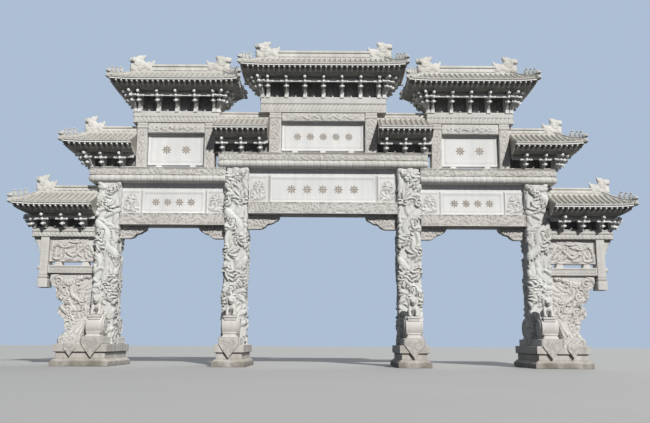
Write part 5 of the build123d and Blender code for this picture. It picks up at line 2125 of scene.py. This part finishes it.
@dataclass(frozen=True)
class Foot:
    """The scroll that braces a wing panel, in front and behind, with its own pointed cloth."""

    low: float = 8.55
    high: float = 9.44
    floor: float = 0.78
    height: float = 0.87
    reach: float = 1.47

    def build(self) -> Shape:
        """The brace: a face that falls forward from the panel, narrowing upwards, with curls and waves."""
        share, across = np.linspace(0, 1, 40)[:, None], np.linspace(0, 1, 40)[None, :]
        low = self.low + 0.1 * share**2
        high = self.high - np.interp(
            share, [0, 0.08, 0.22, 0.4, 0.6, 0.8, 1.0], [0.03, 0, 0.02, 0.12, 0.2, 0.36, 0.48]
        )
        x = low + across * (high - low)
        z = np.broadcast_to(self.floor + share * self.height, x.shape)
        levels = [0, 0.2, 0.3, 0.36, 0.42, 0.6, 0.75, 0.82, 1.0]
        falls = [1.0, 1.0, 0.94, 0.86, 0.84, 0.74, 0.56, 0.5, 0.3]
        fall = np.interp(share, levels, falls) * self.reach
        round_off = 1 - 0.2 * np.clip(2 * across - 1, 0, 1) ** 5 - 0.03 * np.clip(1 - 2 * across, 0, 1) ** 8
        strokes = swells(10.0, 1.7, 0.2, 0.36, 0.03, 17, 0.6) + [
            stroke([(8.74, 1.62), (8.74, 1.36), (8.82, 1.14), (9.0, 1.0)], (0.03, 0.08, 0.08, 0.02), 0.09),
            stroke([(8.62, 1.5), (8.6, 1.25), (8.66, 1.02)], (0.03, 0.05, 0.02), 0.06),
            curl((9.03, 1.34), 0.1, 0.3, 1.0, 0.045, 0.08), curl((9.24, 1.1), 0.12, 2.6, 1.3, 0.04, 0.07),
            curl((8.98, 1.02), 0.09, 0.6, -1.2, 0.035, 0.06),
            leaf((9.0, 0.86), 0.5, 0.42, 0.05, 0.07, 1.2), leaf((8.86, 0.82), 0.3, 0.45, 0.05, 0.06, 0.9),
            leaf((9.28, 0.82), 1.3, 0.34, 0.05, 0.07, 0.8), leaf((8.6, 0.84), 0.6, 0.4, 0.05, 0.06, 0.9),
            leaf((9.1, 1.5), -0.9, 0.36, 0.05, 0.07, 0.7), leaf((8.98, 1.62), -1.2, 0.3, 0.045, 0.06, 0.6),
        ]
        relief = Carving(strokes).heights(x, z)
        front = 0.1 + fall * round_off + relief * (across > 0.02) * (across < 0.98) - 0.06
        return leaves(x, z, np.clip(front, 0.05, self.reach), hollows(relief, 0.05))

    def cloth(self) -> Shape:
        """The pointed cloths that hang from the brace's foot."""
        return flap(8.88, self.reach + 0.052, 0.23, self.floor + 0.03, self.floor - 0.14, self.floor - 0.42)


# Beasts


def lion() -> Shape:
    """The forms of a seated lion 0.72 m tall that faces -Y, its seat at the origin: limbs, mane and face."""
    eggs = (
        ((0, 0.12, 0.2), (0.14, 0.17, 0.2)), ((0, 0.02, 0.3), (0.14, 0.15, 0.2)),
        ((0, -0.08, 0.34), (0.12, 0.1, 0.15)), ((0, -0.08, 0.52), (0.16, 0.12, 0.16)),
        ((0, -0.15, 0.54), (0.12, 0.09, 0.11)), ((0, -0.23, 0.5), (0.085, 0.07, 0.045)),
        ((0, -0.21, 0.43), (0.07, 0.06, 0.028)),
    )
    tail = horn([(0, 0.24, 0.12), (0, 0.31, 0.3), (0, 0.27, 0.46)], (0.04, 0.045, 0.05, 0.06, 0.05, 0.02))
    forms = [egg(*form) for form in eggs] + [ball(0.032).moved(0, -0.295, 0.525), tail]
    for radius, y, size in ((0.165, -0.1, 0.045), (0.14, -0.02, 0.055)):
        ring = radius * polar(np.linspace(-0.6, math.pi + 0.6, 13))
        forms.append(ball(size).copies(stacked(ring[:, 0], y, 0.53 + ring[:, 1])))
    for side in (-1, 1):
        leg = [(side * 0.1, -0.08, 0.36), (side * 0.13, -0.15, 0.2), (side * 0.12, -0.19, 0.03)]
        forms += [
            egg((side * 0.13, 0.12, 0.13), (0.085, 0.15, 0.13)),
            egg((side * 0.15, -0.02, 0.035), (0.06, 0.1, 0.04)),
            horn(leg, (0.075, 0.07, 0.06, 0.055, 0.055, 0.06)),
            egg((side * 0.12, -0.24, 0.035), (0.065, 0.08, 0.04)),
            egg((side * 0.11, -0.13, 0.64), (0.035, 0.03, 0.055)),
            ball(0.028).moved(side * 0.055, -0.225, 0.575),
            egg((side * 0.055, -0.21, 0.615), (0.05, 0.035, 0.02)),
        ]
    return join(forms)


def small_beast() -> Shape:
    """A small seated ridge beast that faces +X: haunches, chest, head and a raised tail."""
    tail = np.array([[-0.04, 0, 0.03], [-0.065, 0, 0.08], [-0.05, 0, 0.13], [-0.065, 0, 0.165]])
    return join([
        egg((-0.01, 0.0, 0.045), (0.04, 0.03, 0.055), 0.3, 8),
        egg((0.01, 0.0, 0.095), (0.024, 0.022, 0.05), -0.3, 8),
        egg((0.03, 0.0, 0.145), (0.034, 0.022, 0.024), 0.2, 8),
        tube(tail, np.array([0.014, 0.016, 0.012, 0.004]), 5),
    ])


def end_head() -> Shape:
    """A dragon's head at a corner that faces +X: skull, muzzle, brow and horn."""
    return join([
        egg((0.0, 0.0, 0.0), (0.1, 0.08, 0.085), count=8),
        egg((0.08, 0.0, -0.01), (0.07, 0.055, 0.05), 0.2, 8),
        egg((0.03, 0.0, 0.06), (0.05, 0.06, 0.035), count=8),
        tube(
            np.array([[-0.02, 0, 0.05], [-0.08, 0, 0.11], [-0.1, 0, 0.17]]),
            np.array([0.035, 0.025, 0.008]),
            5,
        ),
    ])


def ridge_dragon() -> Shape:
    """The forms of a ridge-end dragon 1 m long and 1 m high that faces +X."""
    eggs = (
        ((0.76, 0, 0.66), (0.22, 0.125, 0.2), 0.0), ((0.92, 0, 0.66), (0.09, 0.09, 0.09), 0.3),
        ((0.9, 0, 0.42), (0.1, 0.09, 0.06), -0.2), ((0.84, 0, 0.22), (0.14, 0.13, 0.24), 0.0),
        ((0.6, 0, 0.5), (0.24, 0.125, 0.3), 0.0), ((0.66, 0, 0.82), (0.11, 0.1, 0.08), 0.0),
        ((0.84, 0, 0.82), (0.09, 0.09, 0.07), 0.0), ((0.3, 0, 0.42), (0.3, 0.12, 0.12), 0.0),
    )
    horns = (
        ([(0.56, 0, 0.7), (0.46, 0, 0.85), (0.38, 0, 1.0)], (0.14, 0.13, 0.11, 0.09, 0.06, 0.02)),
        ([(0.68, 0, 0.82), (0.6, 0, 0.93), (0.5, 0, 0.95)], (0.08, 0.075, 0.065, 0.055, 0.04, 0.02)),
        ([(0.2, 0, 0.4), (0.08, 0, 0.52), (0.02, 0, 0.74)], (0.13, 0.12, 0.1, 0.08, 0.05, 0.015)),
        ([(0.36, 0, 0.46), (0.27, 0, 0.56), (0.18, 0, 0.64)], (0.1, 0.08, 0.06, 0.04, 0.012)),
    )
    swirls = (
        ((0.62, 0.5), 0.15, 0.4), ((0.82, 0.18), 0.1, 2.5), ((0.38, 0.28), 0.12, 3.6),
        ((0.77, 0.66), 0.09, 1.0), ((0.56, 0.22), 0.1, 5.0), ((0.18, 0.2), 0.09, 2.0),
    )
    nose = [(0.92, 0, 0.72), (1.0, 0, 0.8), (0.93, 0, 0.88)]
    forms = [block((0.06, -0.12, 0.0), (0.95, 0.12, 0.44), 0.03)] + [egg(*form) for form in eggs]
    forms += [horn(knots, radii, len(radii), 8, 0.8) for knots, radii in horns]
    forms.append(horn(nose, (0.05, 0.05, 0.045, 0.035, 0.015), 5, 6))
    for side in (-1, 1):
        for centre, radius, start in swirls:
            x, z = curl(centre, radius, start, 1.3 * side, 0.03, 0.0).line.T
            forms.append(tube(stacked(x, side * 0.125, z), 0.034, 6))
    return join(forms)


# Stage


@dataclass
class Studio:
    """The camera at the photograph's viewing angle, the floor, the pale background and soft light."""

    camera_place: tuple = (0.114, -28.0, 0.85)
    pitch: float = math.radians(10.08)
    roll: float = math.radians(-0.31)
    lens: float = 40.98
    sun_strength: float = 3.9
    sun_colour: tuple = (1.0, 0.985, 0.955)
    back_strength: float = 1.1
    sky_strength: float = 0.14
    sky: tuple = (0.72, 0.84, 1.0)
    backdrop: tuple = (0.42, 0.52, 0.66)
    floor_colour: tuple = (0.43, 0.43, 0.42)
    floor_shade: float = 0.075
    floor_half: float = 150.0

    def camera(self) -> None:
        """Places the camera: it looks along +Y, pitched up and rolled."""
        lens = bpy.data.cameras.new("camera")
        lens.lens = self.lens
        lens.sensor_width = 36.0
        lens.clip_end = 400.0
        camera = bpy.data.objects.new("camera", lens)
        camera.location = self.camera_place
        camera.rotation_euler = (math.pi / 2 + self.pitch, self.roll, 0.0)
        bpy.context.scene.collection.objects.link(camera)
        bpy.context.scene.camera = camera

    def floor(self) -> None:
        """Lays a large level floor at the ground."""
        half = self.floor_half
        mesh = bpy.data.meshes.new("floor")
        mesh.from_pydata(
            [(-half, -half, 0), (half, -half, 0), (half, half, 0), (-half, half, 0)], [], [(0, 1, 2, 3)]
        )
        mesh.materials.append(Plain("pale_floor", self.floor_colour, self.floor_shade).material())
        ground = bpy.data.objects.new("floor", mesh)
        bpy.context.scene.collection.objects.link(ground)

    def lamp(self, name: str, heading: float, strength: float, breadth: float, height: float = 35.0) -> None:
        """Adds one distant light.

        Args:
            name: Its name.
            heading: The way it stands, in degrees turned from the front to the right.
            strength: Its strength.
            breadth: The angle that it fills, in degrees: the broader, the softer its shadows.
            height: Its angle over the floor, in degrees.
        """
        lamp = bpy.data.lights.new(name, "SUN")
        lamp.energy = strength
        lamp.angle = math.radians(breadth)
        lamp.color = self.sun_colour
        light = bpy.data.objects.new(name, lamp)
        turn, level = math.radians(heading), math.cos(math.radians(height))
        toward = Vector((math.sin(turn) * level, -math.cos(turn) * level, math.sin(math.radians(height))))
        light.rotation_euler = toward.to_track_quat("Z", "Y").to_euler()
        bpy.context.scene.collection.objects.link(light)

    def light(self) -> None:
        """Sets the key light on the right of the front, a broad weak one behind, and an even world."""
        self.lamp("key", heading=22.0, strength=self.sun_strength, breadth=2.0)
        self.lamp("back", heading=150.0, strength=self.back_strength, breadth=70.0)
        world = bpy.data.worlds.new("sky")
        bpy.context.scene.world = world
        world.use_nodes = True
        nodes = Nodes(world.node_tree)
        even = nodes.add("Background", {"Color": self.sky, "Strength": self.sky_strength}).outputs[0]
        shown = nodes.add("Background", {"Color": self.backdrop}).outputs[0]
        mix = nodes.add("MixShader", {"Fac": nodes.seen_rays(), 1: even, 2: shown})
        nodes.tree.links.new(mix.outputs[0], nodes.tree.nodes["World Output"].inputs["Surface"])
        bpy.context.scene.view_settings.view_transform = "Standard"


@dataclass
class Gate:
    """The whole gate: makes every carved piece over its plain solid, in order from the ground up."""

    shop: Workshop = field(default_factory=Workshop)
    tip_inset: float = 0.12
    set_reach: float = 0.36
    soffit: float = 0.33

    def place(
        self, name: str, shape: Shape, finish: Finish, node: str, slot: str, crease: float = 35.0,
        twin: bool = True,
    ) -> None:
        """A right-hand piece and its mirror image, or a middle piece alone.

        Args:
            name: The pieces' common name.
            shape: The right-hand or middle shape.
            finish: Their stone.
            node: The plain solid, without its side where each side has its own.
            slot: The record's slot.
            crease: The angle past which edges stay sharp.
            twin: The piece has a mirror image.
        """
        for side in ("right", "left") if twin else ("centre",):
            made = shape.mirrored(0) if side == "left" else shape
            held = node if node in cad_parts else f"{node}_{side}"
            ending = "" if name.endswith(side) else f"_{side}"
            self.shop.piece(name + ending, made, finish, held, slot, crease)

    def dress_solids(self) -> None:
        """Gives each plain solid that stays in view the finish of its kind."""
        kinds = (
            ("base", Finish.BASE), ("pillar", Finish.PILLAR), ("drum", Finish.CARVED),
            ("lions", Finish.CARVED), ("name_panels", Finish.PANEL), ("upper_plaques", Finish.PANEL),
            ("roof", Finish.ROOF), ("brackets", Finish.BRACKET), ("wing_", Finish.CARVED),
        )
        for name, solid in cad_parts.items():
            finish = next((stone for start, stone in kinds if name.startswith(start)), Finish.DRESSED)
            solid.data.materials.clear()
            solid.data.materials.append(self.shop.stone(finish))

    def bases(self) -> None:
        """Makes the bases, the drum stones with their lions and the scrolls at the wings."""
        for place in ("inner", "outer"):
            base = Base(f"base_{place}_right").build()
            self.place(f"stepped_base_{place}", base, Finish.BASE, f"base_{place}", "base_stone")
        beasts = both_faces(self.shop.fused(lion(), 0.025).moved(y=-1.035, z=1.8))
        foot = Foot()
        for place, x in (("inner", 3.28), ("outer", 8.13)):
            drum = DrumStone(x)
            self.place(
                f"drum_stone_{place}", drum.build(), Finish.CARVED, "drum_stones", "carved_stone", 40.0
            )
            self.place(f"drum_cloth_{place}", drum.cloth(), Finish.CLOTH, "drum_stones", "carved_stone", 40.0)
            self.place(f"seated_lion_{place}", beasts.moved(x), Finish.CARVED, "lions", "carved_stone", 60.0)
        self.place("wing_scroll", foot.build(), Finish.CARVED, "wing_feet", "carved_stone", 60.0)
        self.place("wing_scroll_cloth", foot.cloth(), Finish.CLOTH, "wing_feet", "carved_stone", 40.0)

    def pillars(self) -> None:
        """Makes the four dragon pillars."""
        for place, seed in (("inner", 3), ("outer", 8)):
            shape = Pillar(f"pillar_{place}_right", seed).build()
            self.place(
                f"dragon_pillar_{place}", shape, Finish.PILLAR, f"pillar_{place}", "carved_stone", 60.0
            )

    def bays(self) -> None:
        """Makes the name panels, lower beams, corner brackets and roll beams of the three passages."""
        side = Bay(3.72, 7.69, 6.85, 1.17, (1.0, 0.48), 21)
        centre = Bay(-2.84, 2.84, 7.45, 1.32, (1.2, 0.55), 22, (5, 0.18, 0.6))
        rolls = (RollBeam(3.72, 8.95, 6.85, False), RollBeam(-4.06, 4.06, 7.45, True))
        for bay, roll, place, twin in ((side, rolls[0], "_side", True), (centre, rolls[1], "", False)):
            panel, flowers = bay.panel()
            for name, shape, finish, node, slot, crease in (
                ("name_panel", panel, Finish.PANEL, "name_panels", "panel_stone", 35.0),
                ("name_signs", flowers, Finish.SIGN, "name_panels", "panel_stone", 35.0),
                ("lower_beam", bay.beam(), Finish.CARVED, "lower_beams", "carved_stone", 60.0),
                ("corner_bracket", bay.brackets(), Finish.CARVED, "corner_brackets", "beam_stone", 60.0),
                ("roll", roll.build(), Finish.DRESSED, "roll_beam", "beam_stone", 50.0),
            ):
                self.place(name + place, shape, finish, node, slot, crease, twin)

    def towers(self) -> None:
        """Makes the columns, friezes, plaques and lintels of the three towers."""
        side = Tower(5.7, 1.31, 0.43, 7.45, 9.24, 0.4, 1.68, 9.66, (-0.3, 0.3), (2, 0.18, 0.75), 31)
        centre = Tower(0.0, 1.86, 0.5, 8.05, 9.67, 0.33, 2.45, 10.26, (-0.34, 0.0, 0.34), (5, 0.16, 0.5), 32)
        for tower, place, twin in ((side, "_side", True), (centre, "", False)):
            plaque, flowers = tower.plaque()
            for name, shape, finish, node, slot, crease in (
                ("columns", tower.columns(), Finish.CARVED, "upper_columns", "carved_stone", 60.0),
                ("frieze", tower.frieze(), Finish.CARVED, "upper_friezes", "carved_stone", 60.0),
                ("plaque", plaque, Finish.PANEL, "upper_plaques", "panel_stone", 35.0),
                ("signs", flowers, Finish.SIGN, "upper_plaques", "panel_stone", 35.0),
                ("lintel", tower.lintel(), Finish.DRESSED, "upper_lintels", "beam_stone", 50.0),
            ):
                self.place(f"tower_{name}{place}", shape, finish, node, slot, crease, twin)

    def wings(self) -> None:
        """Makes the pieces outside the outer pillars."""
        wing = Wing()
        for name, shape, finish, node, slot, crease in (
            ("lintel", wing.lintel(), Finish.DRESSED, "wing_lintels", "beam_stone", 50.0),
            ("post", wing.post(), Finish.CARVED, "hanging_posts", "beam_stone", 50.0),
            ("frieze", wing.frieze(), Finish.CARVED, "wing_friezes", "carved_stone", 60.0),
            ("tie_beam", wing.tie_beam(), Finish.CARVED, "wing_tie_beams", "beam_stone", 50.0),
            ("panel", wing.panel(), Finish.CARVED, "wing_panels", "carved_stone", 60.0),
            ("post_bracket", wing.bracket(), Finish.DRESSED, "post_brackets", "beam_stone", 50.0),
        ):
            self.place(f"wing_{name}", shape, finish, node, slot, crease)

    def tier(
        self, name: str, hips: tuple, ridge: float, finial: tuple, reach: float
    ) -> tuple[Roof, Brackets]:
        """A roof and its bracket zone, placed by the plain solids' boxes.

        Args:
            name: The common ending of both solids' names.
            hips: Which of its ends are hipped.
            ridge: The height of its ridge.
            finial: The length and the height of its ridge-end dragons.
            reach: How much longer the bracket sets at its corners are.

        Returns:
            The roof and the zone.
        """
        wall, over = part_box(f"brackets_{name}")
        low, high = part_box(f"roof_{name}")
        tips = (low.x + self.tip_inset * hips[0], high.x - self.tip_inset * hips[1])
        walls = (wall.x + self.set_reach * hips[0], over.x - self.set_reach * hips[1])
        roof = Roof(name, *tips, *hips, over.z + self.soffit, ridge, finial)
        return roof, Brackets(name, *walls, *hips, wall.z, over.z - wall.z, reach)

    def roofs(self) -> None:
        """Makes the tiled roofs, their eaves and beasts, and the bracket zones below them."""
        beasts = (small_beast(), end_head(), self.shop.fused(ridge_dragon(), 0.034))
        for name, hips, ridge, finial, reach in (
            ("top_centre", (True, True), 0.34, (1.0, 0.76), 1.2),
            ("top_right", (True, True), 0.34, (1.0, 0.76), 1.2),
            ("second_outer_right", (False, True), 0.26, (0.8, 0.7), 1.2),
            ("second_inner_right", (False, False), 0.26, (0.8, 0.7), 1.2),
            ("wing_right", (False, True), 0.26, (0.8, 0.7), 0.8),
        ):
            roof, zone = self.tier(name, hips, ridge, finial, reach)
            # Boards take painted shade; beads and rafter ends take painted sunlight.
            for part, shape, finish, kind in (
                ("tiles", join([roof.body(), roof.ribs()]), Finish.TILE, "roof"),
                ("rafters", roof.rafters(), Finish.BRACKET, "roof"),
                ("ridge", join([roof.ridge()] + roof.beasts(*beasts)), Finish.ROOF, "roof"),
                ("sets", zone.build(), Finish.BRACKET, "brackets"),
                ("boards", zone.recess(), Finish.BOARD_PAINTED_SHADE, "brackets"),
                ("beads", zone.beads(), Finish.PEARL_PAINTED_LIGHT, "brackets"),
                ("rafter_ends", roof.rafter_ends(), Finish.PEARL_PAINTED_LIGHT, "roof"),
            ):
                slot = "roof_stone" if kind == "roof" else "bracket_stone"
                self.shop.piece(f"{name}_{part}", shape, finish, f"{kind}_{name}", slot)
                if "right" in name:
                    other = name.replace("right", "left")
                    self.shop.piece(f"{other}_{part}", shape.mirrored(0), finish, f"{kind}_{other}", slot)

    def build(self) -> None:
        """Makes every piece."""
        self.dress_solids()
        self.bases()
        self.pillars()
        self.bays()
        self.towers()
        self.wings()
        self.roofs()


def main() -> None:
    """Builds the gate and its studio."""
    logging.basicConfig(level=logging.INFO, format="%(message)s")
    studio = Studio()
    studio.camera()
    studio.floor()
    studio.light()
    gate = Gate()
    gate.build()
    LOG.info("all pieces: %d triangles", gate.shop.triangles)


if __name__ == "__main__":
    main()
